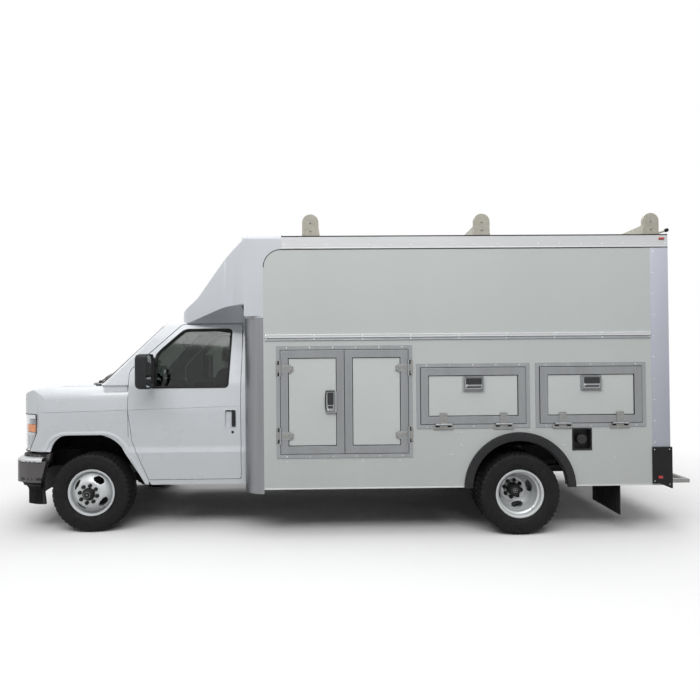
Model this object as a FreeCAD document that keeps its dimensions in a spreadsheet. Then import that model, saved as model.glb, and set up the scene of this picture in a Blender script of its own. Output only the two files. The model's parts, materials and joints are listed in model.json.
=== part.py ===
"""Cutaway van with an enclosed walk-in service body, in millimetres.

Front is -X, the driver's side is -Y, up is +Z.  The origin is on the floor, in the
middle of the overall length and width.  Every size that can be chosen is in DIMENSIONS,
and the pieces take their places from those sizes.
"""
import FreeCAD, Part
import Sketcher
import math
import os

# Driving dimensions.  Heights are from the floor, and a length that ends in _x
# is measured behind the front axle, so what lies ahead of it is negative.
DIMENSIONS = {
    "wheelbase": 4013,
    "front_overhang": 880,
    "rear_overhang": 1645,
    # Wheels and tyres
    "tyre_radius": 372,
    "tyre_width": 225,
    "tyre_wall": 14,
    "tread_width": 196,
    "bead_radius": 203,
    "rim_flange_radius": 222,
    "rim_width": 178,
    "rim_wall": 8,
    "front_track": 1763,
    "rear_track": 1976,
    "dual_offset": 136,
    "disc_thickness": 10,
    "hand_hole_radius": 21,
    "hand_hole_circle": 132,
    "hub_radius": 62,
    "stud_circle": 82,
    "nut_radius": 12,
    "bead_clearance": 0.3,
    "seat_gap": 0.3,
    # Chassis
    "rail_half_width": 434,
    "rail_flange": 66,
    "rail_wall": 7,
    "rail_height": 170,
    "rail_top": 700,
    "rail_front_x": -640,
    "rail_rear_x": 5370,
    "crossmember_width": 70,
    "crossmember_depth": 110,
    "hitch_hole_radius": 8,
    "hitch_hole_spacing_x": 100,
    "hitch_hole_spacing_z": 80,
    "axle_tube_radius": 48,
    "diff_radius": 165,
    "rear_axle_end": 769.7,
    "spring_half_length": 660,
    "spring_width": 76,
    "spring_depth": 60,
    "spring_y": 500,
    "kingpin_y": 772,
    "kingpin_radius": 18,
    "kingpin_clearance": 0.3,
    "yoke_clearance": 6,
    "stub_radius": 28,
    "stub_length": 30,
    "knuckle_half_height": 110,
    "beam_height": 78,
    "beam_width": 50,
    "beam_pivot_y": 190,
    "coil_radius": 46,
    "coil_y": 490,
    "coil_top_z": 640,
    "engine_front_x": -400,
    "engine_rear_x": 440,
    "engine_half_width": 255,
    "engine_bottom": 530,
    "engine_top": 1120,
    "gearbox_rear_x": 1250,
    "gearbox_radius": 150,
    "engine_mount_x": -60,
    "shaft_radius": 42,
    "shaft_z": 470,
    "pinion_radius": 60,
    "tank_front_x": 4500,
    "tank_rear_x": 5150,
    "tank_half_width": 320,
    "tank_bottom": 370,
    "tank_height": 300,
    # Cab
    "cab_half": 1008,
    "sill_half": 975,
    "sill_z": 443,
    "crease_z": 1150,
    "waist_z": 802,
    "waist_half": 990,
    "ledge_z": 752,
    "ledge_half": 1002,
    "groove_front_x": -465,
    "groove_front_z": 1135,
    "groove_middle_z": 1153,
    "groove_rear_z": 1184,
    "groove_height": 5,
    "groove_depth": 4,
    "handle_front_x": 1278,
    "handle_rear_x": 1381,
    "handle_low_z": 985,
    "handle_high_z": 1148,
    "handle_depth": 16,
    "belt_z": 1390,
    "belt_half": 990,
    "roof_half": 815,
    "roof_edge_z": 1992,
    "roof_z": 2052,
    "cab_rear_x": 1477,
    "cab_wall": 55,
    "skin": 14,
    "cab_floor_z": 760,
    "cab_floor_thickness": 60,
    "firewall_x": 130,
    "screen_base_x": -150,
    "screen_side_x": 80,
    "screen_side_y": 900,
    "screen_flat_half": 500,
    "screen_bow": 1300,
    "screen_run": 706,
    "screen_rise": 633,
    "glass_inset": 6,
    "glass_thickness": 8,
    "screen_low_z": 1405,
    "screen_high_z": 1965,
    "screen_low_half": 850,
    "screen_high_half": 705,
    "door_gap": 5,
    "door_front_x": 364,
    "door_knee_x": 400,
    "door_knee_z": 850,
    "door_toe_x": 550,
    "door_bottom_z": 493,
    "door_rear_x": 1424,
    "door_top_z": 1972,
    "door_top_front_x": 835,
    "door_bend_z": 1527,
    "window_front_x": 569,
    "door_pin_x": 414,
    "door_pin_y": 986,
    "door_pin_radius": 4,
    "door_hinge_low_z": 930,
    "door_hinge_high_z": 1215,
    "door_hinge_height": 70,
    "door_cheek": 20,
    "window_rear_x": 1306,
    "window_low_z": 1362,
    "window_high_z": 1925,
    "window_bend_z": 1685,
    "window_top_x": 855,
    "arch_half_front": 420,
    "arch_rear_x": 530,
    "arch_top_z": 925,
    "arch_low_z": 430,
    "liner_margin": 34,
    "liner_wall": 6,
    "liner_inner_y": 545,
    "hood_half": 900,
    "hood_lip_z": 1130,
    "hood_rear_z": 1400,
    "hood_gap": 6,
    "hood_hinge_x": 60,
    "hood_hinge_y": 850,
    "hood_hinge_z": 1330,
    "hood_pin_radius": 5,
    "hood_arm_width": 24,
    "nose_x": -815,
    "nose_corner_x": -666,
    "nose_corner_y": 905,
    "nose_side_x": -430,
    "nose_brow_x": -790,
    "hood_bend_x": -560,
    "hood_slope_x": -150,
    "lamp_rear_x": -504,
    "lamp_low_x": -597,
    "lamp_low_z": 768,
    "lamp_inner_y": 655,
    "lamp_depth": 62,
    "grille_low_z": 792,
    "grille_bar": 44,
    "grille_gap": 34,
    "bumper_low_z": 480,
    "bumper_step_z": 680,
    "bumper_top_z": 737,
    "bumper_depth": 70,
    "bumper_end_top_x": -391,
    "bumper_end_low_x": -457,
    "bumper_side_x": -560,
    "bumper_corner_x": -735,
    "bumper_corner_y": 915,
    "dam_low_z": 254,
    "dam_set_back": 92,
    "dam_lip_z": 438,
    "dam_rear_x": -485,
    "dam_wall": 24,
    "mirror_y": 1170,
    "mirror_width": 210,
    "mirror_depth": 120,
    "mirror_low_z": 1365,
    "mirror_high_z": 1685,
    "mirror_front_x": 512,
    # Service body
    "body_half": 1220,
    "body_front_x": 1477,
    "body_rear_x": 5405,
    "post_radius": 200,
    "post_wall": 8,
    "post_low_z": 402,
    "post_high_z": 2022,
    "wall": 28,
    "wall_low_z": 440,
    "eave_z": 2632,
    "body_top_z": 2752,
    "roof_thickness": 30,
    "belt_rail_z": 1823,
    "belt_rail_height": 50,
    "belt_rail_proud": 8,
    "floor_z": 790,
    "floor_thickness": 50,
    "floor_half": 725,
    "locker_inner_y": 745,
    "locker_wall": 10,
    "frame_proud": 6,
    "frame_flange": 34,
    "leaf_proud": 12,
    "leaf_thickness": 42,
    "leaf_gap": 6,
    "tall_front_x": 1792,
    "tall_rear_x": 3033,
    "tall_low_z": 725,
    "tall_high_z": 1745,
    "flap_low_z": 982,
    "flap_high_z": 1574,
    "mid_front_x": 3069,
    "mid_rear_x": 4110,
    "aft_front_x": 4163,
    "aft_rear_x": 5182,
    "panel_border": 68,
    "panel_depth": 10,
    "hinge_radius": 9,
    "knuckle_clearance": 2,
    "hinge_length": 150,
    "hinge_reach": 95,
    "hinge_leaf": 5,
    "latch_width": 96,
    "latch_height": 190,
    "latch_proud": 16,
    "flap_latch_drop": 12,
    "flap_latch_height": 125,
    "flare_x": 4010,
    "flare_z": 430,
    "flare_radius": 510,
    "flare_inner": 438,
    "flare_proud": 30,
    "house_front_x": 3535,
    "house_rear_x": 4485,
    "house_top_z": 960,
    "filler_front_x": 4497,
    "filler_rear_x": 4679,
    "filler_low_z": 768,
    "filler_high_z": 972,
    "filler_depth": 70,
    "filler_wall": 10,
    "rear_door_half": 700,
    "rear_door_low_z": 810,
    "rear_door_high_z": 2570,
    "rear_door_thickness": 45,
    "rear_window_low_z": 1700,
    "rear_window_high_z": 2300,
    "rear_window_margin": 150,
    "tail_front_x": 5235,
    "tail_low_z": 430,
    "tail_high_z": 790,
    "tail_depth": 130,
    "tail_proud": 12,
    "flap_x": 4940,
    "flap_thickness": 12,
    "flap_inner_y": 650,
    "flap_drop_z": 165,
    "flap_top_z": 560,
    # Cap over the cab
    "cap_brow_x": 800,
    "cap_brow_z": 2085,
    "cap_flange_x": 1845,
    "cap_top_z": 2779,
    "cap_wall": 16,
    "cap_side_z": 2127,
    "cap_skirt_z": 2030,
    "cap_brow_half": 760,
    "cap_shoulder_x": 1375,
    # Roof rack
    "rack_first_x": 2036,
    "rack_second_x": 3617,
    "rack_third_x": 5193,
    "rack_width": 150,
    "rack_half": 1190,
    "rack_bar_height": 90,
    "rack_top_z": 2955,
    "rack_wall": 6,
    # Rear step
    "step_half": 1100,
    "step_low_z": 431,
    "step_height": 34,
    "step_bar": 8,
    "step_bar_pitch": 42,
    "step_border": 40,
    # Cab interior
    "seat_x": 880,
    "seat_y": 580,
    "seat_width": 500,
    "seat_depth": 480,
    "seat_z": 1090,
    "seat_cushion": 130,
    "seat_back_height": 720,
    "dash_rear_x": 420,
    "dash_low_z": 1080,
    "dash_high_z": 1370,
    "steering_radius": 190,
    "steering_rim": 15,
    "exhaust_radius": 34,
    "muffler_radius": 95,
    "exhaust_y": 520,
    "exhaust_z": 470,
}

doc = FreeCAD.newDocument("ServiceVan")
sheet = doc.addObject("Spreadsheet::Sheet", "Dims")
for row, (word, length) in enumerate(DIMENSIONS.items(), start=1):
    sheet.set(f"A{row}", word)
    sheet.set(f"B{row}", str(length))
    sheet.setAlias(f"B{row}", word)
doc.recompute()


# Sizes that keep their own formula
def number_of(value):
    return value.number if isinstance(value, Size) else float(value)


def formula_of(value):
    return value.formula if isinstance(value, Size) else f"({float(value)})"


class Size:
    """A length that keeps both its number and the sheet formula that gives it."""

    def __init__(self, number, formula):
        self.number = number
        self.formula = formula

    def __add__(self, other):
        return Size(self.number + number_of(other), f"({self.formula} + {formula_of(other)})")

    def __radd__(self, other):
        return Size(number_of(other) + self.number, f"({formula_of(other)} + {self.formula})")

    def __sub__(self, other):
        return Size(self.number - number_of(other), f"({self.formula} - {formula_of(other)})")

    def __rsub__(self, other):
        return Size(number_of(other) - self.number, f"({formula_of(other)} - {self.formula})")

    def __mul__(self, other):
        return Size(self.number * number_of(other), f"({self.formula} * {formula_of(other)})")

    def __rmul__(self, other):
        return self * other

    def __truediv__(self, other):
        return Size(self.number / number_of(other), f"({self.formula} / {formula_of(other)})")

    def __neg__(self):
        return Size(-self.number, f"(0 - {self.formula})")


class Sizes:
    """Looks up a driving dimension by its word."""

    def __getattr__(self, word):
        return Size(float(sheet.get(word)), f"Dims.{word}")


d = Sizes()
FRONT_AXLE = (d.front_overhang - d.wheelbase - d.rear_overhang) / 2
REAR_AXLE = FRONT_AXLE + d.wheelbase


def behind(distance):
    """Place along X of something that lies this far behind the front axle."""
    return FRONT_AXLE + distance


# Building blocks
SUBPARTS = []


def bind(target, path, value):
    target.setExpression(path, formula_of(value))


def place(target, x=0, y=0, z=0):
    for axis, value in zip("xyz", (x, y, z)):
        bind(target, f"Placement.Base.{axis}", value)


def box(name, xs, ys, zs):
    """A block between two values along each axis."""
    block = doc.addObject("Part::Box", name)
    for side, (low, high) in zip(("Length", "Width", "Height"), (xs, ys, zs)):
        bind(block, side, high - low)
    place(block, xs[0], ys[0], zs[0])
    return block


AXIS_TURN = {
    "x": FreeCAD.Rotation(FreeCAD.Vector(0, 1, 0), 90),
    "y": FreeCAD.Rotation(FreeCAD.Vector(1, 0, 0), -90),
    "z": FreeCAD.Rotation(),
}


def cylinder(name, axis, radius, low, high, centre):
    """A round bar along one axis; centre is a place on its line, used off that axis."""
    bar = doc.addObject("Part::Cylinder", name)
    bind(bar, "Radius", radius)
    bind(bar, "Height", high - low)
    bar.Placement = FreeCAD.Placement(FreeCAD.Vector(), AXIS_TURN[axis])
    spot = list(centre)
    spot["xyz".index(axis)] = low
    place(bar, *spot)
    return bar


# Sketch planes: how the sketch is turned, and the way its solid grows
PLANES = {
    "xy": (FreeCAD.Rotation(), FreeCAD.Vector(0, 0, 1), "z"),
    "xz": (FreeCAD.Rotation(FreeCAD.Vector(1, 0, 0), 90), FreeCAD.Vector(0, 1, 0), "y"),
    "yz": (FreeCAD.Rotation(FreeCAD.Vector(1, 1, 1), 120), FreeCAD.Vector(1, 0, 0), "x"),
}


def corner_data(corners, i):
    """Where the round at a corner starts, ends and has its centre."""
    here = FreeCAD.Vector(number_of(corners[i][0]), number_of(corners[i][1]), 0)
    before, after = corners[i - 1], corners[(i + 1) % len(corners)]
    back = FreeCAD.Vector(number_of(before[0]), number_of(before[1]), 0) - here
    ahead = FreeCAD.Vector(number_of(after[0]), number_of(after[1]), 0) - here
    back.normalize()
    ahead.normalize()
    radius = number_of(corners[i][2]) if len(corners[i]) > 2 else 0
    if not radius:
        return here, here, None, True
    half = back.getAngle(ahead) / 2
    inward = back + ahead
    inward.normalize()
    reach = radius / math.tan(half)
    centre = here + inward * (radius / math.sin(half))
    left_turn = (-back).cross(ahead).z > 0
    return here + back * reach, here + ahead * reach, centre, left_turn


def draw_outline(sketch, corners):
    """A closed outline of corners (a, b) or (a, b, radius), each tied to its sizes."""
    count = len(corners)
    data = [corner_data(corners, i) for i in range(count)]
    for i in range(count):
        sketch.addGeometry(Part.LineSegment(data[i][1], data[(i + 1) % count][0]))
    for i, corner in enumerate(corners):
        start, end, centre, left_turn = data[i]
        incoming = (i - 1) % count
        if centre is None:
            sketch.addConstraint(Sketcher.Constraint("Coincident", incoming, 2, i, 1))
            marker = i
        else:
            first, last = (start, end) if left_turn else (end, start)
            turn = [math.atan2(p.y - centre.y, p.x - centre.x) for p in (first, last)]
            circle = Part.Circle(centre, FreeCAD.Vector(0, 0, 1), number_of(corner[2]))
            arc = sketch.addGeometry(Part.ArcOfCircle(circle, turn[0], turn[1]))
            enter, leave = (1, 2) if left_turn else (2, 1)
            sketch.addConstraint(Sketcher.Constraint("Tangent", incoming, 2, arc, enter))
            sketch.addConstraint(Sketcher.Constraint("Tangent", arc, leave, i, 1))
            tie = sketch.addConstraint(Sketcher.Constraint("Radius", arc, number_of(corner[2])))
            sketch.setExpression(f"Constraints[{tie}]", formula_of(corner[2]))
            here = FreeCAD.Vector(number_of(corner[0]), number_of(corner[1]), 0)
            marker = sketch.addGeometry(Part.Point(here), True)
            sketch.addConstraint(Sketcher.Constraint("PointOnObject", marker, 1, incoming))
            sketch.addConstraint(Sketcher.Constraint("PointOnObject", marker, 1, i))
        for kind, value in (("DistanceX", corner[0]), ("DistanceY", corner[1])):
            tie = sketch.addConstraint(Sketcher.Constraint(kind, -1, 1, marker, 1, number_of(value)))
            if isinstance(value, Size):
                sketch.setExpression(f"Constraints[{tie}]", value.formula)


def prism(name, plane, corners, low, high, lean=None):
    """A solid of one outline, grown from low to high along the plane's normal.

    With lean, a pair of lengths along X and Z, the outline slides that way instead.
    """
    turn, normal, axis = PLANES[plane]
    sketch = doc.addObject("Sketcher::SketchObject", name + "_outline")
    sketch.Placement = FreeCAD.Placement(FreeCAD.Vector(), turn)
    bind(sketch, f"Placement.Base.{axis}", low)
    draw_outline(sketch, corners)
    solid = doc.addObject("Part::Extrusion", name)
    solid.Base = sketch
    solid.DirMode = "Custom"
    solid.Solid = True
    if lean:
        bind(solid, "Dir.x", lean[0])
        bind(solid, "Dir.y", 0)
        bind(solid, "Dir.z", lean[1])
    else:
        solid.Dir = normal
        bind(solid, "LengthFwd", high - low)
    return solid


def joined(name, pieces):
    union = doc.addObject("Part::MultiFuse", name)
    union.Shapes = pieces
    union.Refine = True
    return union


def shared(name, pieces):
    overlap = doc.addObject("Part::MultiCommon", name)
    overlap.Shapes = pieces
    return overlap


def cut(name, base, tools):
    """The base less every tool."""
    tool = tools[0] if len(tools) == 1 else joined(name + "_tools", tools)
    rest = doc.addObject("Part::Cut", name)
    rest.Base = base
    rest.Tool = tool
    rest.Refine = True
    return rest


def mirrored(name, piece):
    twin = doc.addObject("Part::Mirroring", name)
    twin.Source = piece
    twin.Base = FreeCAD.Vector(0, 0, 0)
    twin.Normal = FreeCAD.Vector(0, 1, 0)
    return twin


def together(name, pieces):
    """Separate solids that share a sub-part."""
    group = doc.addObject("Part::Compound", name)
    group.Links = pieces
    return group


def subpart(node, piece):
    piece.Label = node
    SUBPARTS.append(piece)
    return piece


def both_sides(node, piece):
    return subpart(node, together(node, [piece, mirrored(node + "_twin", piece)]))


def origin_plane(body, role):
    return next(item for item in body.Origin.OriginFeatures if item.Role == role)


# Chassis frame: two channel rails, cross members, and bolt holes at the rear
def frame_rail(name, side_low, side_high, open_low, open_high):
    rail = box(name, (behind(d.rail_front_x), behind(d.rail_rear_x)), (side_low, side_high),
               (d.rail_top - d.rail_height, d.rail_top))
    hollow = box(name + "_hollow", (behind(d.rail_front_x) - 1, behind(d.rail_rear_x) + 1),
                 (open_low, open_high),
                 (d.rail_top - d.rail_height + d.rail_wall, d.rail_top - d.rail_wall))
    return cut(name + "_channel", rail, [hollow])


def make_frame():
    outer = d.rail_half_width
    inner = outer - d.rail_flange
    web = outer - d.rail_wall
    left = frame_rail("left_rail", -outer, -inner, -web, -inner + 1)
    right = frame_rail("right_rail", inner, outer, inner - 1, web)
    members = [left, right]
    stations = (d.rail_front_x + 20, d.gearbox_rear_x + 30, d.cab_rear_x + 500, d.house_front_x - 700,
                d.house_front_x, d.tank_front_x - d.crossmember_width, d.rail_rear_x - d.crossmember_width)
    for i, station in enumerate(stations):
        start = behind(station)
        low = d.rail_top - d.rail_wall - d.crossmember_depth
        tube = box(f"member_{i}", (start, start + d.crossmember_width), (-web, web),
                   (low, d.rail_top - d.rail_wall))
        bore = box(f"member_bore_{i}", (start + d.rail_wall, start + d.crossmember_width - d.rail_wall),
                   (-web - 1, web + 1), (low + d.rail_wall, d.rail_top - 2 * d.rail_wall))
        if i in (1, 2, 3):
            low_tube = box(f"member_low_{i}", (start, start + d.crossmember_width), (-web, web),
                           (d.rail_top - d.rail_height + d.rail_wall,
                            d.rail_top - d.rail_height + d.rail_wall * 3))
            members.append(low_tube)
        else:
            members.append(cut(f"member_tube_{i}", tube, [bore]))
    for side in (-1, 1):
        x, y = coil_place(side)
        ys = (-d.coil_y - d.coil_radius, -outer) if side < 0 else (outer, d.coil_y + d.coil_radius)
        members.append(box(f"spring_tower_{side + 1}", (x - d.coil_radius - 10, x + d.coil_radius + 10), ys,
                           (d.coil_top_z, d.coil_top_z + 14)))
        members.append(box(f"tower_web_{side + 1}", (x - 7, x + 7), ys, (d.coil_top_z, d.rail_top - 5)))
    whole = joined("frame_solid", members)
    centre_x = behind(d.rail_rear_x) - d.hitch_hole_spacing_x * 0.5 - d.crossmember_width * 2
    centre_z = d.rail_top - d.rail_height / 2
    holes = []
    for i, (across, up) in enumerate(((-0.5, -0.5), (0.5, -0.5), (0.5, 0.5), (-0.5, 0.5))):
        spot = (centre_x + d.hitch_hole_spacing_x * across, 0, centre_z + d.hitch_hole_spacing_z * up)
        holes.append(cylinder(f"hitch_hole_{i}", "y", d.hitch_hole_radius, -outer - 10, outer + 10, spot))
    subpart("frame", cut("frame", whole, holes))


# Engine, gearbox, propeller shaft and radiator
def make_powertrain():
    block = box("engine_block", (behind(d.engine_front_x), behind(d.engine_rear_x)),
                (-d.engine_half_width, d.engine_half_width), (d.engine_bottom, d.engine_top))
    gearbox = cylinder("gearbox", "x", d.gearbox_radius, behind(d.engine_rear_x),
                       behind(d.gearbox_rear_x), (0, 0, d.shaft_z + 20))
    shaft = cylinder("shaft", "x", d.shaft_radius, behind(d.gearbox_rear_x),
                     REAR_AXLE - d.diff_radius - 60 - d.seat_gap, (0, 0, d.shaft_z))
    trimmed = cut("gearbox_trimmed", gearbox,
                  [box("gearbox_top", (behind(d.engine_rear_x), behind(d.gearbox_rear_x)),
                       (-d.gearbox_radius, d.gearbox_radius),
                       (d.cab_floor_z - d.cab_floor_thickness - d.leaf_gap, d.engine_top))])
    mount = box("engine_mount", (behind(d.engine_mount_x), behind(d.engine_mount_x) + 80),
                (-d.rail_half_width + 20, -d.engine_half_width),
                (d.rail_top + d.seat_gap, d.rail_top + 20))
    radiator = box("radiator", (behind(d.rail_front_x) + 40, behind(d.rail_front_x) + 110),
                   (-d.rail_half_width + d.rail_flange + 10, d.rail_half_width - d.rail_flange - 10),
                   (d.rail_top - d.rail_wall + d.seat_gap, d.engine_top))
    subpart("powertrain", together("powertrain", [
        block, trimmed, shaft, mount, mirrored("engine_mount_far", mount), radiator]))


def make_fuel_tank():
    low, high = d.tank_bottom, d.tank_bottom + d.tank_height
    half = d.tank_half_width
    body = prism("fuel_tank", "yz",
                 [(-half, low, 60), (half, low, 60), (half, high, 40), (-half, high, 40)],
                 behind(d.tank_front_x), behind(d.tank_rear_x))
    subpart("fuel_tank", body)


def make_exhaust():
    start, end = behind(d.gearbox_rear_x), REAR_AXLE - d.spring_half_length - 80
    pipe = cylinder("exhaust_pipe", "x", d.exhaust_radius, start, end, (0, d.exhaust_y, d.exhaust_z))
    muffler = cylinder("muffler", "x", d.muffler_radius, start + 500, start + 1100,
                       (0, d.exhaust_y, d.exhaust_z))
    hanger = box("hanger", (start + 200, start + 240), (d.rail_half_width, d.exhaust_y),
                 (d.exhaust_z - 15, d.exhaust_z + 15))
    clamp = box("hanger_arm", (start + 200, start + 240), (d.rail_half_width, d.rail_half_width + 20),
                (d.exhaust_z - 15, d.rail_top - d.rail_height + 60))
    subpart("exhaust", joined("exhaust", [pipe, muffler, hanger, clamp]))


# Front suspension: one forged beam from each kingpin to a pivot across the chassis
def axle_beam(name, offset):
    top = d.beam_height / 2
    wheel = d.tyre_radius
    outer, inner = -d.kingpin_y + 40, d.beam_pivot_y
    corners = [
        (outer, wheel - top, 20), (-d.rail_half_width, wheel - top * 2, 60), (inner, wheel + top * 0.4, 20),
        (inner, wheel + top * 2.4, 20), (-d.rail_half_width, wheel + top * 0.2, 60), (outer, wheel + top, 20),
    ]
    start = FRONT_AXLE + offset
    return prism(name, "yz", corners, start, start + d.beam_width)


def coil_place(side):
    """Where a coil stands: the two beams pass each other, so the coils are staggered."""
    return FRONT_AXLE + d.beam_width * 0.7 * side, d.coil_y * side


def coil_spring(name, side):
    x, y = coil_place(side)
    return cylinder(name, "z", d.coil_radius, d.tyre_radius, d.coil_top_z, (x, y, 0))


def make_front_axle():
    wheel = d.tyre_radius
    eye = cylinder("beam_eye", "z", d.kingpin_radius * 1.9, wheel - d.beam_height / 2,
                   wheel + d.beam_height / 2, (FRONT_AXLE, -d.kingpin_y, 0))
    arm = box("eye_arm", (FRONT_AXLE - d.beam_width * 0.4, FRONT_AXLE + d.beam_width * 0.4),
              (-d.kingpin_y, -d.kingpin_y + 70), (wheel - d.beam_height / 2, wheel + d.beam_height / 2))
    bore = cylinder("kingpin_bore", "z", d.kingpin_radius + d.kingpin_clearance, wheel - d.beam_height,
                    wheel + d.beam_height, (FRONT_AXLE, -d.kingpin_y, 0))
    link = box("beam_link", (FRONT_AXLE - d.beam_width * 1.2, FRONT_AXLE + d.beam_width * 0.4),
               (-d.kingpin_y + 60, -d.kingpin_y + 100), (wheel - d.beam_height / 2, wheel + d.beam_height / 2))
    near = joined("near_beam_solid", [axle_beam("near_beam", -d.beam_width * 1.2), eye, arm, link])
    near_beam = cut("near_beam_bored", near, [bore])
    far_arm = mirrored("far_arm", joined("far_arm_near", [eye, arm]))
    far_beam = mirrored("far_beam", axle_beam("far_beam_near", d.beam_width * 0.2))
    far_link = box("far_link", (FRONT_AXLE - d.beam_width * 0.4, FRONT_AXLE + d.beam_width * 1.2),
                   (d.kingpin_y - 100, d.kingpin_y - 60), (wheel - d.beam_height / 2, wheel + d.beam_height / 2))
    far = cut("far_beam_bored", joined("far_beam_solid", [far_arm, far_beam, far_link]),
              [mirrored("far_bore", bore)])
    near_sprung = joined("near_sprung", [near_beam, coil_spring("near_coil", -1)])
    far_sprung = joined("far_sprung", [far, coil_spring("far_coil", 1)])
    subpart("front_axle", together("front_axle", [near_sprung, far_sprung]))


# Knuckle: kingpin, yoke and stub axle that carry a front wheel
def make_knuckles():
    wheel = d.tyre_radius
    pin = cylinder("kingpin", "z", d.kingpin_radius, wheel - d.knuckle_half_height,
                   wheel + d.knuckle_half_height, (FRONT_AXLE, -d.kingpin_y, 0))
    clear = d.beam_height / 2 + d.yoke_clearance
    top = cylinder("yoke_top", "z", d.kingpin_radius * 1.8, wheel + clear, wheel + d.knuckle_half_height,
                   (FRONT_AXLE, -d.kingpin_y, 0))
    low = cylinder("yoke_low", "z", d.kingpin_radius * 1.8, wheel - d.knuckle_half_height, wheel - clear,
                   (FRONT_AXLE, -d.kingpin_y, 0))
    plate = box("yoke_plate", (FRONT_AXLE - 32, FRONT_AXLE + 32),
                (-d.kingpin_y - 64, -d.kingpin_y - 42),
                (wheel - d.knuckle_half_height, wheel + d.knuckle_half_height))
    upper = box("yoke_upper", (FRONT_AXLE - 28, FRONT_AXLE + 28), (-d.kingpin_y - 60, -d.kingpin_y),
                (wheel + clear, wheel + d.knuckle_half_height))
    lower = box("yoke_lower", (FRONT_AXLE - 28, FRONT_AXLE + 28), (-d.kingpin_y - 60, -d.kingpin_y),
                (wheel - d.knuckle_half_height, wheel - clear))
    stub = cylinder("stub", "y", d.stub_radius, -d.front_track / 2 - d.stub_length, -d.kingpin_y - 60,
                    (FRONT_AXLE, 0, wheel))
    near = joined("knuckle_left", [pin, top, low, plate, upper, lower, stub])
    subpart("knuckle_left", near)
    subpart("knuckle_right", mirrored("knuckle_right", near))


# Rear axle: tube with its round differential case, on a pair of leaf springs
def make_rear_axle():
    wheel = d.tyre_radius
    tube = cylinder("axle_tube", "y", d.axle_tube_radius, -d.rear_axle_end, d.rear_axle_end,
                    (REAR_AXLE, 0, wheel))
    case = turned_body("diff_case",
                       [(-120, 0), (120, 0), (120, d.axle_tube_radius * 1.4), (60, d.diff_radius, 30),
                        (-60, d.diff_radius, 30), (-120, d.axle_tube_radius * 1.4)],
                       REAR_AXLE, 0, wheel)
    nose = cylinder("pinion_nose", "x", d.pinion_radius, REAR_AXLE - d.diff_radius - 60, REAR_AXLE, (0, 0, wheel))
    pieces = [tube, case, nose]
    half = d.spring_half_length
    eye_z = d.rail_top - d.rail_height - 30
    for side, sign in (("near", -1), ("far", 1)):
        middle = wheel + d.axle_tube_radius
        corners = [
            (REAR_AXLE - half, eye_z - 14), (REAR_AXLE, middle - 16, 1400), (REAR_AXLE + half, eye_z - 14),
            (REAR_AXLE + half, eye_z), (REAR_AXLE + half * 0.55, eye_z - 22), (REAR_AXLE + half * 0.5, eye_z + 2),
            (REAR_AXLE, middle + d.spring_depth * 0.6, 900),
            (REAR_AXLE - half * 0.5, eye_z + 2), (REAR_AXLE - half * 0.55, eye_z - 22),
            (REAR_AXLE - half, eye_z),
        ]
        centre = d.spring_y * sign
        pieces.append(prism(f"leaf_pack_{side}", "xz", corners, centre - d.spring_width / 2,
                            centre + d.spring_width / 2))
        for end, way in (("front", -1), ("rear", 1)):
            spot = REAR_AXLE + half * way
            low_y, high_y = (centre - d.spring_width / 2, -d.rail_half_width) if sign < 0 else (
                d.rail_half_width, centre + d.spring_width / 2)
            pieces.append(box(f"shackle_{side}_{end}", (spot - 24, spot + 24), (low_y, high_y),
                              (eye_z - 16, eye_z + 90)))
    subpart("rear_axle", joined("rear_axle", pieces))


# Wheels: pressed steel rims with a dished disc, and hollow tyres on their bead seats
WELL_DEPTH = 16
LIP = 6
NUT_COUNT = 8


def mirror_corners(corners):
    """The same corners on the other side of the wheel's middle, in reverse order."""
    return [(-corner[0],) + tuple(corner[1:]) for corner in reversed(corners)]


def rim_profile():
    half = d.rim_width / 2
    seat = d.bead_radius
    outer = [(half - LIP, d.rim_flange_radius), (half - LIP, seat), (half - 34, seat),
             (half - 50, seat - WELL_DEPTH)]
    inner = [(half - 52, seat - WELL_DEPTH - d.rim_wall), (half - 36, seat - d.rim_wall),
             (half - LIP, seat - d.rim_wall), (half, d.rim_flange_radius - LIP),
             (half, d.rim_flange_radius)]
    return outer + mirror_corners(outer) + mirror_corners(inner) + inner


def disc_profile(out):
    """From the rim's well to the flat mounting face, towards out, +1 or -1 along Y."""
    well = d.bead_radius - WELL_DEPTH - d.rim_wall * 0.5
    face = d.dual_offset
    back = face - d.disc_thickness
    corners = [(26, well), (38, well), (face * 0.68, d.hand_hole_circle + 34),
               (face, d.stud_circle + 34), (face, d.hub_radius - 10), (back, d.hub_radius - 10),
               (back, d.stud_circle + 28), (face * 0.6, d.hand_hole_circle + 22)]
    return [(along * out, radius) for along, radius in corners]


def turn_profile(body, name, corners):
    sketch = body.newObject("Sketcher::SketchObject", name + "_profile")
    sketch.AttachmentSupport = [(origin_plane(body, "YZ_Plane"), "")]
    sketch.MapMode = "FlatFace"
    draw_outline(sketch, corners)
    turned = body.newObject("PartDesign::Revolution", name)
    turned.Profile = sketch
    turned.ReferenceAxis = (sketch, ["H_Axis"])
    turned.Angle = 360


def turned_body(name, corners, x, y, z):
    """A body turned about a line along Y; corners are (along Y, radius)."""
    body = doc.addObject("PartDesign::Body", name)
    turn_profile(body, name + "_turned", corners)
    place(body, x, y, z)
    return body


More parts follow.
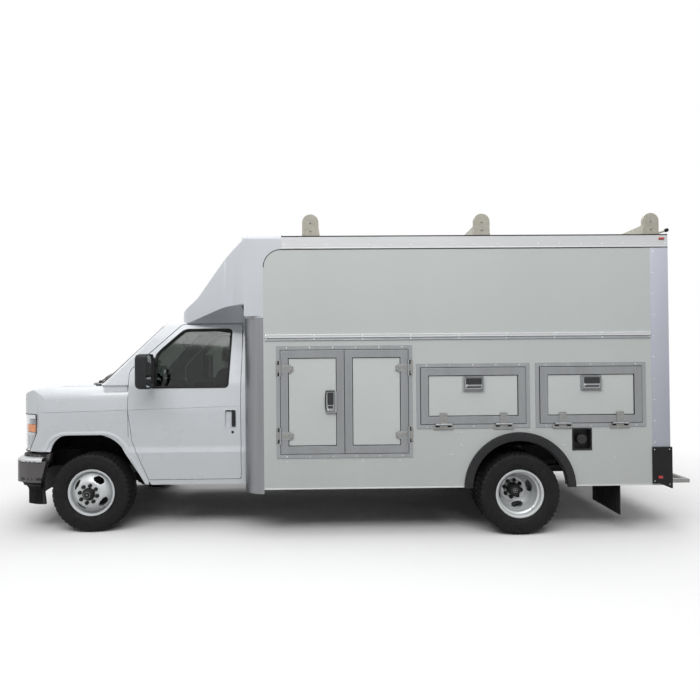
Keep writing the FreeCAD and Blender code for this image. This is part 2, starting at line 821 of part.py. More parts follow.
def pressed_wheel(name, out, axle_x, centre_y):
    """One rim with its disc and four hand holes."""
    body = doc.addObject("PartDesign::Body", name)
    turn_profile(body, name + "_rim", rim_profile())
    turn_profile(body, name + "_disc", disc_profile(out))
    doc.recompute()
    sketch = body.newObject("Sketcher::SketchObject", name + "_hole_outline")
    sketch.AttachmentSupport = [(origin_plane(body, "XZ_Plane"), "")]
    sketch.MapMode = "FlatFace"
    centre = FreeCAD.Vector(0, d.hand_hole_circle.number, 0)
    sketch.addGeometry(Part.Circle(centre, FreeCAD.Vector(0, 0, 1), d.hand_hole_radius.number))
    sketch.addConstraint(Sketcher.Constraint("Radius", 0, d.hand_hole_radius.number))
    sketch.addConstraint(Sketcher.Constraint("DistanceY", -1, 1, 0, 3, centre.y))
    sketch.addConstraint(Sketcher.Constraint("PointOnObject", 0, 3, -2))
    sketch.setExpression("Constraints[0]", d.hand_hole_radius.formula)
    sketch.setExpression("Constraints[1]", d.hand_hole_circle.formula)
    hole = body.newObject("PartDesign::Pocket", name + "_hand_hole")
    hole.Profile = sketch
    hole.Type = "ThroughAll"
    hole.Midplane = True
    doc.recompute()
    pattern = body.newObject("PartDesign::PolarPattern", name + "_hand_holes")
    pattern.Originals = [hole]
    pattern.Axis = (origin_plane(body, "Y_Axis"), [""])
    pattern.Angle = 360
    pattern.Occurrences = 4
    body.Tip = pattern
    place(body, axle_x, centre_y, d.tyre_radius)
    return body


def nut_ring(name, axle_x, low, high):
    nuts = []
    for i in range(NUT_COUNT):
        angle = math.tau * (i + 0.5) / NUT_COUNT
        spot = (axle_x + d.stud_circle * math.cos(angle), 0,
                d.tyre_radius + d.stud_circle * math.sin(angle))
        nuts.append(cylinder(f"{name}_{i}", "y", d.nut_radius, low, high, spot))
    return nuts


def tyre(name, axle_x, centre_y):
    half = d.tyre_width / 2
    wall = d.tyre_wall
    bead = d.rim_width / 2 - LIP - d.bead_clearance
    seat = d.bead_radius + d.bead_clearance
    tread = d.tread_width / 2
    crown = d.tyre_radius
    outside = [(bead, seat), (bead, d.rim_flange_radius + 2), (half, d.rim_flange_radius + 34, 26),
               (half, crown - 62, 60), (tread, crown - 5, 14), (tread * 0.5, crown)]
    inside = [(tread - wall, crown - wall * 1.7), (half - wall, crown - 66, 40),
              (half - wall, d.rim_flange_radius + 38, 20), (bead - wall - 4, d.rim_flange_radius + 6),
              (bead - wall - 8, seat)]
    corners = outside + mirror_corners(outside)
    corners += mirror_corners(inside) + inside
    return turned_body(name, corners, axle_x, centre_y, d.tyre_radius)


def make_front_wheels():
    centre = -d.front_track / 2
    face = centre - d.dual_offset
    wheel = pressed_wheel("front_rim", -1, FRONT_AXLE, centre)
    bore = d.stub_radius + d.kingpin_clearance
    end = d.stub_length + 4
    hub = turned_body("front_hub",
                      [(-end, 0), (-end, bore), (40, bore), (40, d.hub_radius),
                       (-d.dual_offset, d.hub_radius), (-d.dual_offset - 14, d.hub_radius - 6),
                       (-d.dual_offset - 44, d.hub_radius * 0.6), (-d.dual_offset - 44, 0)],
                      FRONT_AXLE, centre, d.tyre_radius)
    nuts = nut_ring("front_nut", FRONT_AXLE, face - 20, face + 2)
    left = subpart("wheel_front_left", joined("wheel_front_left", [wheel, hub] + nuts))
    subpart("wheel_front_right", mirrored("wheel_front_right", left))
    rubber = subpart("tyre_front_left", tyre("tyre_front_left", FRONT_AXLE, centre))
    subpart("tyre_front_right", mirrored("tyre_front_right", rubber))


def make_rear_wheels():
    middle = -d.rear_track / 2
    outer = pressed_wheel("outer_rim", 1, REAR_AXLE, middle - d.dual_offset)
    inner = pressed_wheel("inner_rim", -1, REAR_AXLE, middle + d.dual_offset)
    end = d.rear_track / 2 - d.rear_axle_end - d.bead_clearance
    bore = d.axle_tube_radius + d.kingpin_clearance
    hub = turned_body("rear_hub",
                      [(end, 0), (end, bore), (end + 28, bore), (end + 28, d.hub_radius),
                       (-64, d.hub_radius), (-92, d.hub_radius * 0.8), (-92, 0)],
                      REAR_AXLE, middle, d.tyre_radius)
    nuts = nut_ring("rear_nut", REAR_AXLE, middle - d.disc_thickness - 20, middle - d.disc_thickness + 2)
    left = subpart("wheels_rear_left", joined("wheels_rear_left", [outer, inner, hub] + nuts))
    subpart("wheels_rear_right", mirrored("wheels_rear_right", left))
    pair = [tyre(f"{side}_tyre", REAR_AXLE, middle + d.dual_offset * way)
            for side, way in (("outer", -1), ("inner", 1))]
    rubber = subpart("tyres_rear_left", together("tyres_rear_left", pair))
    subpart("tyres_rear_right", mirrored("tyres_rear_right", rubber))


# Cab outline: one cross-section for the whole cab, and a leaning curved screen
SIDE_REACH = 1100
ROOF_CROWN = 3000


def lower_side(inset, low):
    """The cab's side from its sill over the ledge and the hollow above it to the crease."""
    return [(d.sill_half - inset, low), (d.ledge_half - inset, d.ledge_z, 24),
            (d.waist_half - inset, d.waist_z, 90), (d.cab_half - inset, d.crease_z, 500)]


def cab_section(name, inset, low, start, end):
    """The cab's cross-section, set in from its skin, between two places along X."""
    roof = d.roof_z - inset * 0.7
    edge = d.roof_edge_z - inset * 0.7
    side = lower_side(inset, low) + [(d.belt_half - inset, d.belt_z, 200), (d.roof_half - inset, edge, 60)]
    corners = side + [(0, roof, ROOF_CROWN)] + mirror_corners(side)
    return prism(name, "yz", corners, start, end)


def crease_groove(name, core):
    """A fine pressed line along the cab's side, as deep as the core lets it be."""
    front, rear = behind(d.groove_front_x), behind(d.cab_rear_x)
    line = [(front, d.groove_front_z), (behind(d.door_front_x), d.groove_middle_z), (rear, d.groove_rear_z)]
    upper = [(x, z + d.groove_height) for x, z in reversed(line)]
    return cut(name, prism(name + "_band", "xz", line + upper, -SIDE_REACH, SIDE_REACH), [core])


def screen_outline(shift):
    """Plan of everything behind the windscreen's curved foot."""
    foot = behind(d.screen_base_x) + shift
    side = behind(d.screen_side_x) + shift
    rear = behind(d.cab_rear_x) + 100
    return [(foot, d.screen_flat_half, d.screen_bow), (foot, -d.screen_flat_half, d.screen_bow),
            (side, -d.screen_side_y), (side + 120, -SIDE_REACH), (rear, -SIDE_REACH),
            (rear, SIDE_REACH), (side + 120, SIDE_REACH), (side, d.screen_side_y)]


def greenhouse(name, shift):
    climb = (d.roof_z - d.belt_z + 60) / d.screen_rise
    return prism(name, "xy", screen_outline(shift), d.belt_z, 0,
                 lean=(d.screen_run * climb, d.screen_rise * climb))


def door_outline(gap):
    front, rear = behind(d.door_front_x) - gap, behind(d.door_rear_x) + gap
    low, high = d.door_bottom_z - gap, d.door_top_z + gap
    return [(behind(d.door_toe_x) - gap, low), (rear, low, 25), (rear, high, 40),
            (behind(d.door_top_front_x) - gap, high, 60), (front, d.door_bend_z + gap, 90),
            (front, d.crease_z, 200), (behind(d.door_knee_x) - gap, d.door_knee_z, 100)]


def window_outline(margin):
    low, high = d.window_low_z + margin, d.window_high_z - margin
    front, rear = behind(d.window_front_x) + margin, behind(d.window_rear_x) - margin
    return [(front, low, 30), (rear, low, 40), (rear + 14, high, 45),
            (behind(d.window_top_x) + margin, high, 50), (front + 26, d.window_bend_z, 80)]


def screen_front(name):
    """The windscreen's outline seen from the front."""
    corners = [(-d.screen_low_half, d.screen_low_z, 60), (d.screen_low_half, d.screen_low_z, 60),
               (d.screen_high_half, d.screen_high_z, 70), (-d.screen_high_half, d.screen_high_z, 70)]
    return prism(name, "yz", corners, behind(d.screen_base_x) - 100, behind(d.screen_base_x) + 1050)


def arch_outline(margin):
    low = d.arch_low_z
    return [(behind(-d.arch_half_front) - margin, low), (behind(d.arch_rear_x) + margin * 1.2, low),
            (behind(d.arch_rear_x) - 305 + margin * 0.8, d.arch_top_z + margin, 300),
            (behind(-d.arch_half_front) + 75 - margin, d.arch_top_z + margin, 170)]


def arch_tool(name, margin, inner):
    near = prism(name + "_near", "xz", arch_outline(margin), -SIDE_REACH, -inner)
    return [near, mirrored(name + "_far", near)]


# Cab shell: pillars, roof, floor, bulkhead and engine cover
def make_cab_shell():
    rear = behind(d.cab_rear_x)
    seam = behind(d.door_front_x) - d.door_gap
    bulkhead = behind(d.firewall_x)
    sheet_wall = d.skin
    skin = cab_section("cab_skin", 0, d.sill_z, behind(d.screen_base_x) - 60, rear)
    lower = box("cab_lower", (seam, rear), (-SIDE_REACH, SIDE_REACH), (d.sill_z, d.belt_z + 1))
    solid = shared("cab_solid", [skin, joined("cab_reach", [greenhouse("cab_greenhouse", 0), lower])])
    pillar = shared("hinge_pillar", [
        cab_section("pillar_skin", d.skin + d.seat_gap, d.sill_z, bulkhead, seam + 1),
        box("pillar_block", (bulkhead, seam + 1), (-SIDE_REACH, SIDE_REACH), (d.sill_z, d.belt_z + 1))])
    inner_skin = cab_section("cab_inner_skin", d.cab_wall, d.sill_z, bulkhead + sheet_wall, rear + 1)
    inner_low = box("cab_inner_low", (bulkhead + sheet_wall, rear + 1), (-SIDE_REACH, SIDE_REACH),
                    (d.cab_floor_z, d.belt_z + 1))
    room = shared("cab_room", [inner_skin, joined("room_reach", [
        greenhouse("room_greenhouse", d.cab_wall * 1.4), inner_low])])
    under = box("under_floor", (bulkhead - 1, rear + 1), (-d.sill_half + 80, d.sill_half - 80),
                (d.sill_z - 1, d.cab_floor_z - d.cab_floor_thickness))
    door_near = prism("door_opening_near", "xz", door_outline(d.door_gap), -SIDE_REACH,
                      -d.roof_half + d.cab_wall + d.door_gap)
    cover_half = d.engine_half_width + 25
    engine_way = box("engine_way", (bulkhead - 1, behind(d.engine_rear_x) + 15),
                     (-cover_half + sheet_wall, cover_half - sheet_wall),
                     (d.sill_z, d.engine_top + 15))
    arches = arch_tool("cab_arch", d.liner_margin + d.liner_wall, d.liner_inner_y - d.liner_wall)
    shell = cut("cab_hollow", joined("cab_blocks", [solid, pillar]),
                [room, under, door_near, mirrored("door_opening_far", door_near),
                 screen_front("screen_opening")] + arches)
    cover = box("engine_cover", (bulkhead, behind(d.engine_rear_x) + 15 + sheet_wall),
                (-cover_half, cover_half), (d.cab_floor_z - d.cab_floor_thickness, d.engine_top + 15 + sheet_wall))
    cowl = shared("cowl", [
        prism("cowl_plan", "xy", screen_outline(-54), d.belt_z - 36, d.belt_z - 8),
        box("cowl_block", (behind(d.screen_base_x) - 60, bulkhead + 40),
            (-d.hood_half + 2, d.hood_half - 2), (d.belt_z - 36, d.belt_z - 8))])
    riser = shared("cowl_riser", [
        cut("riser_ring", prism("riser_plan", "xy", screen_outline(1), d.belt_z - 10, d.belt_z + 2),
            [prism("riser_bore", "xy", screen_outline(60), d.belt_z - 11, d.belt_z + 3)]),
        box("riser_block", (behind(d.screen_base_x), bulkhead + 40), (-d.hood_half, d.hood_half),
            (d.belt_z - 10, d.belt_z + 2))])
    whole = joined("cab_joined", [shell, cover, cowl, riser])
    solid = joined("cab_hinged", [cut("cab_cleared", whole, [engine_way, fender_room()]
                                      + hood_hinge_notches())] + hood_hinge_brackets())
    return cut("cab_bare", solid, arches)


# Hood hinges: an arm of the hood swings on a pin between two cheeks of the bulkhead
def hinge_spots():
    return [sign * d.hood_hinge_y for sign in (-1, 1)]


def hood_hinge_brackets():
    x, z = behind(d.hood_hinge_x), d.hood_hinge_z
    pieces = []
    for i, y in enumerate(hinge_spots()):
        half = d.hood_arm_width / 2 + d.seat_gap
        pieces.append(cylinder(f"hood_pin_{i}", "y", d.hood_pin_radius, y - half - 8, y + half + 8, (x, 0, z)))
        for side, sign in (("in", -1), ("out", 1)):
            near, far = y + sign * half, y + sign * (half + 8)
            ys = (near, far) if sign > 0 else (far, near)
            pieces.append(box(f"hood_cheek_{side}_{i}", (x - 12, behind(d.firewall_x) + 5), ys, (z - 14, z + 14)))
    return pieces


def hood_hinge_notches():
    x, z = behind(d.hood_hinge_x), d.hood_hinge_z
    half = d.hood_arm_width / 2 + 12
    return [box(f"hood_notch_{i}", (x - 150, x + 18), (y - half, y + half), (z - 20, d.belt_z - 6))
            for i, y in enumerate(hinge_spots())]


def hood_arms():
    x, z = behind(d.hood_hinge_x), d.hood_hinge_z
    half = d.hood_arm_width / 2
    pieces = []
    for i, y in enumerate(hinge_spots()):
        ys = (y - half, y + half)
        arm = joined(f"hood_arm_{i}", [
            cylinder(f"hood_barrel_{i}", "y", d.hood_pin_radius + 7, y - half, y + half, (x, 0, z)),
            box(f"hood_arm_low_{i}", (x - 120, x), ys, (z - 7, z + 7)),
            box(f"hood_arm_up_{i}", (x - 120, x - 90), ys, (z - 7, d.hood_rear_z - d.skin - 2))])
        bore = cylinder(f"hood_bore_{i}", "y", d.hood_pin_radius + d.seat_gap, y - half - 1, y + half + 1, (x, 0, z))
        pieces.append(cut(f"hood_arm_bored_{i}", arm, [bore]))
    return pieces


def fender_room():
    """What the cab leaves free for the fenders' sheet, ahead of the doors."""
    skin = cut("fender_sheet", nose_form("fender_sheet_outer", -3, d.sill_z),
               [nose_form("fender_sheet_inner", d.skin, d.sill_z - 1)])
    return cut("fender_room", skin, fender_limits("room"))


def fender_limits(name):
    """What lies behind the fenders: the doors with their gap, and all that is behind them."""
    rear = behind(d.door_toe_x) + 100
    seam = behind(d.door_front_x) - d.door_gap
    toe = behind(d.door_toe_x) - d.door_gap
    return [prism(name + "_door_line", "xz", door_outline(d.door_gap), -SIDE_REACH, SIDE_REACH),
            box(name + "_behind", (seam, rear), (-SIDE_REACH, SIDE_REACH), (d.crease_z - 250, d.hood_rear_z + 40)),
            box(name + "_under_door", (toe, rear), (-SIDE_REACH, SIDE_REACH), (d.sill_z - 3, d.crease_z - 250))]


def make_screen():
    outer = greenhouse("screen_outer", d.glass_inset)
    inner = greenhouse("screen_inner", d.glass_inset + d.glass_thickness)
    sheet_glass = cut("screen_sheet", outer, [inner])
    subpart("windshield", shared("windshield", [sheet_glass, screen_front("screen_edge"),
                                                cab_section("screen_limit", d.glass_inset, d.sill_z,
                                                            behind(d.screen_base_x) - 60,
                                                            behind(d.cab_rear_x))]))


# Cab doors hang on pins inside their front edges, on arms that come round from the pillars
def door_hinge(name, low):
    """The arm on the pillar, the room it needs in the door, and the door's barrel."""
    x, y = behind(d.door_pin_x), -d.door_pin_y
    centre = (x, y, 0)
    high = low + d.door_hinge_height
    cheek = d.door_cheek
    pin = d.door_pin_radius
    barrel = pin + 2.5
    inner = -d.door_pin_y + 78
    fixed = [cylinder(name + "_pin", "z", pin, low, high, centre),
             box(name + "_foot", (behind(d.door_front_x) - 45, x + 10), (inner - 22, inner), (low, high)),
             box(name + "_root", (behind(d.door_front_x) - 45, behind(d.door_front_x) - 12),
                 (-d.cab_half + d.cab_wall - 12, inner), (low, high))]
    for side, start, end in (("low", low, low + cheek), ("high", high - cheek, high)):
        fixed.append(cylinder(f"{name}_cheek_{side}", "z", barrel, start, end, centre))
        fixed.append(box(f"{name}_arm_{side}", (x - 6, x + 6), (y, inner), (start, end)))
    pocket = box(name + "_pocket", (x - 80, x + 15), (y - barrel - 0.7, -d.roof_half), (low - 3, high + 3))
    start, end = low + cheek + d.seat_gap, high - cheek - d.seat_gap
    knuckle = cut(name + "_knuckle", joined(name + "_knuckle_solid", [
        cylinder(name + "_barrel", "z", barrel, start, end, centre),
        box(name + "_tongue", (x, x + 18), (y - barrel, y + barrel), (start, end))]),
        [cylinder(name + "_bore", "z", pin + d.seat_gap, start - 1, end + 1, centre)])
    return fixed, pocket, knuckle


def door_hinges():
    return [door_hinge("low_hinge", d.door_hinge_low_z), door_hinge("high_hinge", d.door_hinge_high_z)]


# Cab doors, with their glass and mirrors
def make_doors(bare_cab):
    start, end = behind(d.door_front_x) - 40, behind(d.door_rear_x) + 40
    block = prism("door_block", "xz", door_outline(0), -SIDE_REACH, -d.roof_half + d.cab_wall)
    skin = cab_section("door_skin", 0, d.sill_z, start, end)
    inner = cab_section("door_inner", d.cab_wall, d.sill_z - 1, start - 1, end + 1)
    opening = prism("window_opening", "xz", window_outline(0), -SIDE_REACH, -d.roof_half / 2)
    solid = shared("door_solid", [block, skin])
    hinges = door_hinges()
    pockets = [hinge_parts[1] for hinge_parts in hinges]
    reach = d.door_rear_x - d.door_pin_x + 3
    sweep = cylinder("door_sweep", "z", reach, d.sill_z, d.roof_z, (behind(d.door_pin_x), -d.door_pin_y, 0))
    core = cab_section("groove_core", d.groove_depth, d.sill_z, start - 60, end + 60)
    handle = prism("handle_room", "xz", [
        (behind(d.handle_front_x), d.handle_low_z, 14), (behind(d.handle_rear_x), d.handle_low_z, 14),
        (behind(d.handle_rear_x), d.handle_high_z, 14), (behind(d.handle_front_x), d.handle_high_z, 14)],
        -SIDE_REACH, -d.roof_half)
    dish = cut("handle_dish", handle, [cab_section("handle_core", d.handle_depth, d.sill_z, start, end)])
    leaf = shared("door_swept", [cut("door_leaf", solid, [inner, opening, crease_groove("door_groove", core), dish]
                                     + pockets), sweep])
    near = subpart("door_left", joined("door_left", [leaf] + [hinge_parts[2] for hinge_parts in hinges]))
    arms = joined("door_arms", [piece for hinge_parts in hinges for piece in hinge_parts[0]])
    rebate = box("pillar_rebate", (behind(d.door_front_x) - 14, behind(d.door_front_x)),
                 (-d.cab_half - 2, -d.roof_half - 60), (d.door_knee_z - 20, d.belt_z))
    tools = [rebate, mirrored("pillar_rebate_far", rebate)]
    subpart("cab_shell", joined("cab_shell", [cut("cab_rebated", bare_cab, tools), arms,
                                              mirrored("door_arms_far", arms)]))
    subpart("door_right", mirrored("door_right", near))
    pane = prism("pane_block", "xz", window_outline(0), -SIDE_REACH, -d.roof_half / 2)
    pane_outer = cab_section("pane_outer", d.cab_wall * 0.35, d.sill_z, start, end)
    pane_inner = cab_section("pane_inner", d.cab_wall * 0.35 + d.glass_thickness, d.sill_z - 1, start - 1, end + 1)
    glass = subpart("door_glass_left", cut("door_glass_left", shared("pane_solid", [pane, pane_outer]), [pane_inner]))
    subpart("door_glass_right", mirrored("door_glass_right", glass))
    front = behind(d.mirror_front_x)
    outer = -d.mirror_y - d.mirror_width / 2
    housing = prism("mirror_housing", "xz",
                    [(front, d.mirror_low_z, 34), (front + d.mirror_depth, d.mirror_low_z, 24),
                     (front + d.mirror_depth, d.mirror_high_z, 24), (front, d.mirror_high_z, 46)],
                    outer, outer + d.mirror_width)
    arms = []
    for i, height in enumerate((d.mirror_low_z + 60, d.mirror_high_z - 70)):
        arms.append(box(f"mirror_arm_{i}", (front + 38, front + 62), (outer + d.mirror_width - 20, -d.roof_half),
                        (height, height + 26)))
    limit = cab_section("mirror_limit", 0, d.sill_z, start, end)
    mirror = subpart("mirror_left", cut("mirror_left", joined("mirror_solid", [housing] + arms), [limit]))
    subpart("mirror_right", mirrored("mirror_right", mirror))


# Nose: fenders, hood, grille and head lamps share one rounded form
def nose_form(name, inset, low):
    rear = behind(d.door_toe_x) + 60
    top = d.hood_rear_z - inset
    profile = prism(name + "_profile", "xz",
                    [(rear, low), (rear, top), (behind(d.hood_slope_x), top, 1500),
                     (behind(d.hood_bend_x) + inset * 0.1, top - 43, 500),
                     (behind(d.nose_brow_x) + inset * 0.85, top - 160 + inset * 0.2, 130),
                     (behind(d.nose_x) + inset, top - 310, 90), (behind(d.nose_x) + inset, low)],
                    -SIDE_REACH, SIDE_REACH)
    flank = lower_side(inset, low) + [(d.belt_half - inset, d.hood_rear_z - 14 - inset, 140)]
    section = prism(name + "_section", "yz",
                    flank + [(0, d.hood_rear_z + 6 - inset, 4000)] + mirror_corners(flank),
                    behind(d.nose_x) - 20, rear)
    side = [(rear, d.cab_half - inset), (behind(d.nose_side_x), d.cab_half - inset, 500),
            (behind(d.nose_corner_x) + inset * 0.7, d.nose_corner_y - inset * 0.7, 150),
            (behind(d.nose_x) + inset, 300, 1500)]
    flipped = [(corner[0], -corner[1]) + tuple(corner[2:]) for corner in reversed(side)]
    plan = prism(name + "_plan", "xy", side + flipped, low, d.hood_rear_z + 20)
    return shared(name, [profile, section, plan])


def hood_block(name, gap):
    """The part of the nose that lifts, less the curved strip before the windscreen."""
    front = behind(d.nose_x) - 20
    block = box(name + "_block", (front, behind(d.firewall_x)), (-d.hood_half - gap, d.hood_half + gap),
                (d.hood_lip_z - gap, d.hood_rear_z + 20))
    strip = prism(name + "_strip", "xy", screen_outline(gap - 60 - d.hood_gap), d.hood_lip_z - 40,
                  d.hood_rear_z + 40)
    return cut(name, block, [strip])


def lamp_block(name):
    front, top = behind(d.nose_x) - 20, d.hood_lip_z - d.hood_gap
    corners = [(front, top), (behind(d.lamp_rear_x), top, 16), (behind(d.lamp_rear_x) - 3, top - 180, 60),
               (behind(d.lamp_low_x), d.lamp_low_z), (front, d.lamp_low_z)]
    return prism(name, "xz", corners, -SIDE_REACH, -d.lamp_inner_y)


def make_nose():
    skin = cut("nose_skin", nose_form("nose_outer", 0, d.sill_z),
               [nose_form("nose_inner", d.skin, d.sill_z - 1)])
    subpart("hood", joined("hood", [shared("hood_sheet", [skin, hood_block("hood_reach", 0)])] + hood_arms()))

    front = behind(d.nose_x) - 20
    lamp = lamp_block("lamp_opening")
    grille_way = box("grille_opening", (front, front + 300), (-d.lamp_inner_y, d.lamp_inner_y),
                     (d.sill_z - 2, d.hood_lip_z))
    below = box("below_fender", (front, behind(-d.arch_half_front) + 60), (-SIDE_REACH, SIDE_REACH),
                (d.sill_z - 2, d.lamp_low_z))
    middle = box("between_fenders", (front, behind(d.door_toe_x) + 100), (-d.hood_half - d.hood_gap, d.hood_half + d.hood_gap),
                 (d.hood_lip_z - d.hood_gap, d.hood_rear_z + 40))
    tools = [lamp, mirrored("lamp_opening_far", lamp), grille_way, below, middle] + fender_limits("fender")
    groove = crease_groove("fender_groove", nose_form("fender_groove_core", d.groove_depth, d.sill_z))
    subpart("fenders", cut("fenders", skin, tools + [groove] + arch_tool("fender_arch", 0, d.cab_half / 2)))

    low, high = d.grille_low_z, d.hood_lip_z - d.hood_gap
    band = shared("grille_band", [
        cut("grille_skin", nose_form("grille_outer", 2, d.sill_z), [nose_form("grille_inner", 44, d.sill_z - 1)]),
        box("grille_reach", (front, front + 300), (-d.lamp_inner_y, d.lamp_inner_y), (low, high))])
    rows = int((high.number - low.number - 30) // (d.grille_bar.number * 0.5 + d.grille_gap.number))
    pitch = (high - low - d.grille_bar) / rows
    slots = [box(f"grille_slot_{i}", (front, front + 300), (-d.lamp_inner_y + 40, d.lamp_inner_y - 40),
                 (low + d.grille_bar * 0.75 + pitch * i, low + d.grille_bar * 0.75 + pitch * i + d.grille_gap))
             for i in range(rows)]
    subpart("grille", cut("grille", band, slots))

    glass = cut("lamp_skin", nose_form("lamp_outer", 3, d.sill_z), [nose_form("lamp_inner", d.lamp_depth, d.sill_z - 1)])
    both_sides("headlamps", shared("headlamp_near", [glass, lamp_block("lamp_reach")]))


# Bumper with its set-back upper step, and the black air dam below it
def bumper_outline(inset):
    end = behind(-d.arch_half_front) + 60
    side = [(end, d.cab_half - 4 - inset),
            (behind(d.bumper_side_x) + inset * 0.24, d.cab_half - 4 - inset, 300 - inset),
            (behind(d.bumper_corner_x) + inset * 0.87, d.bumper_corner_y - inset * 0.68, 130 - inset * 0.9),
            (behind(-d.front_overhang) + inset, 300, 1500)]
    return side + [(corner[0], -corner[1]) + tuple(corner[2:]) for corner in reversed(side)]


def bumper_band(name, outer, inner, low, high):
    return cut(name, prism(name + "_outer", "xy", bumper_outline(outer), low, high),
               [prism(name + "_inner", "xy", bumper_outline(inner), low - 1, high + 1)])


def end_line(name, top_x, top_z, low_x, low_z):
    """What lies behind a slanting line, seen from the side."""
    far = behind(d.arch_rear_x)
    return prism(name, "xz", [(behind(top_x), top_z), (behind(low_x), low_z), (far, low_z), (far, top_z)],
                 -SIDE_REACH, SIDE_REACH)


def make_bumper():
    face = bumper_band("bumper_face", 0, d.bumper_depth, d.bumper_low_z, d.bumper_step_z)
    step = bumper_band("bumper_step", 52, d.bumper_depth + 30, d.bumper_step_z - 20, d.bumper_top_z)
    brackets = []
    for side, sign in (("near", -1), ("far", 1)):
        centre = sign * (d.rail_half_width - d.rail_flange / 2)
        brackets.append(box(f"bumper_bracket_{side}",
                            (behind(-d.front_overhang) + d.bumper_depth - 10, behind(d.rail_front_x)),
                            (centre - 30, centre + 30), (d.rail_top - d.rail_height + 20, d.bumper_step_z - 10)))
    ends = end_line("bumper_ends", d.bumper_end_top_x, d.bumper_top_z + 1, d.bumper_end_low_x, d.bumper_low_z - 1)
    subpart("front_bumper", joined("front_bumper", [
        cut("bumper_trimmed", joined("bumper_solid", [face, step]), [ends])] + brackets))
    inner = d.dam_set_back + d.dam_wall
    dam = joined("dam_solid", [
        bumper_band("dam_lip", d.bumper_depth - d.dam_wall, inner, d.dam_lip_z, d.bumper_low_z),
        bumper_band("dam_skirt", d.dam_set_back, inner, d.dam_low_z, d.dam_lip_z + 1)])
    subpart("air_dam", cut("air_dam", dam, [
        end_line("dam_ends", d.dam_rear_x, d.bumper_low_z + 1, d.dam_rear_x + 24, d.dam_low_z - 1)]))


# Wheel-house liners in front, and boxed wheel houses in the body
def make_wheel_houses():
    block = shared("liner_block", [
        prism("liner_outer", "xz", arch_outline(d.liner_margin + d.liner_wall), -SIDE_REACH,
              -d.liner_inner_y + d.liner_wall),
        nose_form("liner_limit", d.skin + d.seat_gap, d.sill_z - 1)])
    near = cut("liner_near", block,
               [prism("liner_inner", "xz", arch_outline(d.liner_margin),
                      -SIDE_REACH, -d.liner_inner_y),
                box("liner_foot", (behind(-d.arch_half_front) - 100, behind(d.arch_rear_x) + 200),
                    (-SIDE_REACH, 0), (0, d.rail_top - 100)),
                box("liner_toe", (behind(-d.arch_half_front) - 100, behind(-d.arch_half_front) + 120),
                    (-SIDE_REACH, 0), (0, d.bumper_top_z + 8))])
    low = d.floor_z - d.floor_thickness
    front, rear = behind(d.house_front_x), behind(d.house_rear_x)
    inner = -d.floor_half
    shell = box("house_block", (front, rear), (-d.body_half + d.wall, inner), (low, d.house_top_z))
    room = box("house_room", (front + d.locker_wall, rear - d.locker_wall),
               (-d.body_half - 1, inner - d.locker_wall), (low - 1, d.house_top_z - d.locker_wall))
    house = cut("house_near", shell, [room])
    subpart("wheel_houses", together("wheel_houses", [
        near, mirrored("liner_far", near), house, mirrored("house_far", house)]))


# Service body: floor on cross bars, riveted walls, roof and end frames
def make_body_floor():
    low = d.floor_z - d.floor_thickness
    front, rear = behind(d.body_front_x), behind(d.body_rear_x) - d.wall
    plates = [box("floor_plate", (front, rear), (-d.floor_half, d.floor_half), (low, d.floor_z))]
    full = -d.body_half + d.wall
    stations = [(d.body_front_x + 230, full), (d.body_front_x + 900, full), (d.body_front_x + 1560, full),
                (d.house_front_x + 160, -d.floor_half), (d.flare_x + 120, -d.floor_half),
                (d.house_rear_x + 30, full), (d.body_rear_x - 200, full)]
    for i, (station, reach) in enumerate(stations):
        plates.append(box(f"floor_bar_{i}", (behind(station), behind(station) + 60), (reach, -reach),
                          (d.rail_top, low)))
    subpart("body_floor", together("body_floor", plates))


def wall_outline():
    front, rear = behind(d.body_front_x) + d.post_radius, behind(d.body_rear_x)
    return [(front, d.wall_low_z), (rear, d.wall_low_z), (rear, d.eave_z),
            (front, d.eave_z, 165)]


def locker_places():
    """Front, rear, lowest and highest edge of each locker's frame."""
    return {
        "tall": (d.tall_front_x, d.tall_rear_x, d.tall_low_z, d.tall_high_z),
        "mid": (d.mid_front_x, d.mid_rear_x, d.flap_low_z, d.flap_high_z),
        "aft": (d.aft_front_x, d.aft_rear_x, d.flap_low_z, d.flap_high_z),
    }


def frame_opening(name, place_of, margin, ys):
    front, rear, low, high = place_of
    return box(name, (behind(front) + margin, behind(rear) - margin), ys, (low + margin, high - margin))


def wall_panel(name, with_filler):
    outer = -d.body_half
    panel = prism(name + "_sheet", "xz", wall_outline(), outer, outer + d.wall)
    tools = [frame_opening(f"{name}_{word}", spot, d.frame_flange, (outer - 5, outer + d.wall + 5))
             for word, spot in locker_places().items()]
    tools.append(cylinder(name + "_arch", "y", d.flare_inner, outer - 5, outer + d.wall + 5,
                          (behind(d.flare_x), 0, d.flare_z)))
    if with_filler:
        tools.append(box(name + "_filler", (behind(d.filler_front_x), behind(d.filler_rear_x)),
                         (outer - 5, outer + d.wall + 5), (d.filler_low_z, d.filler_high_z)))
    rail = box(name + "_belt", (behind(d.body_front_x) + d.post_radius + 16, behind(d.tail_front_x) - 4),
               (outer - d.belt_rail_proud, outer),
               (d.belt_rail_z - d.belt_rail_height / 2, d.belt_rail_z + d.belt_rail_height / 2))
    return joined(name, [cut(name + "_cut", panel, tools), rail])


def make_body_sides():
    subpart("body_sides", together("body_sides", [
        wall_panel("driver_wall", True), mirrored("kerb_wall", wall_panel("kerb_wall_near", False))]))


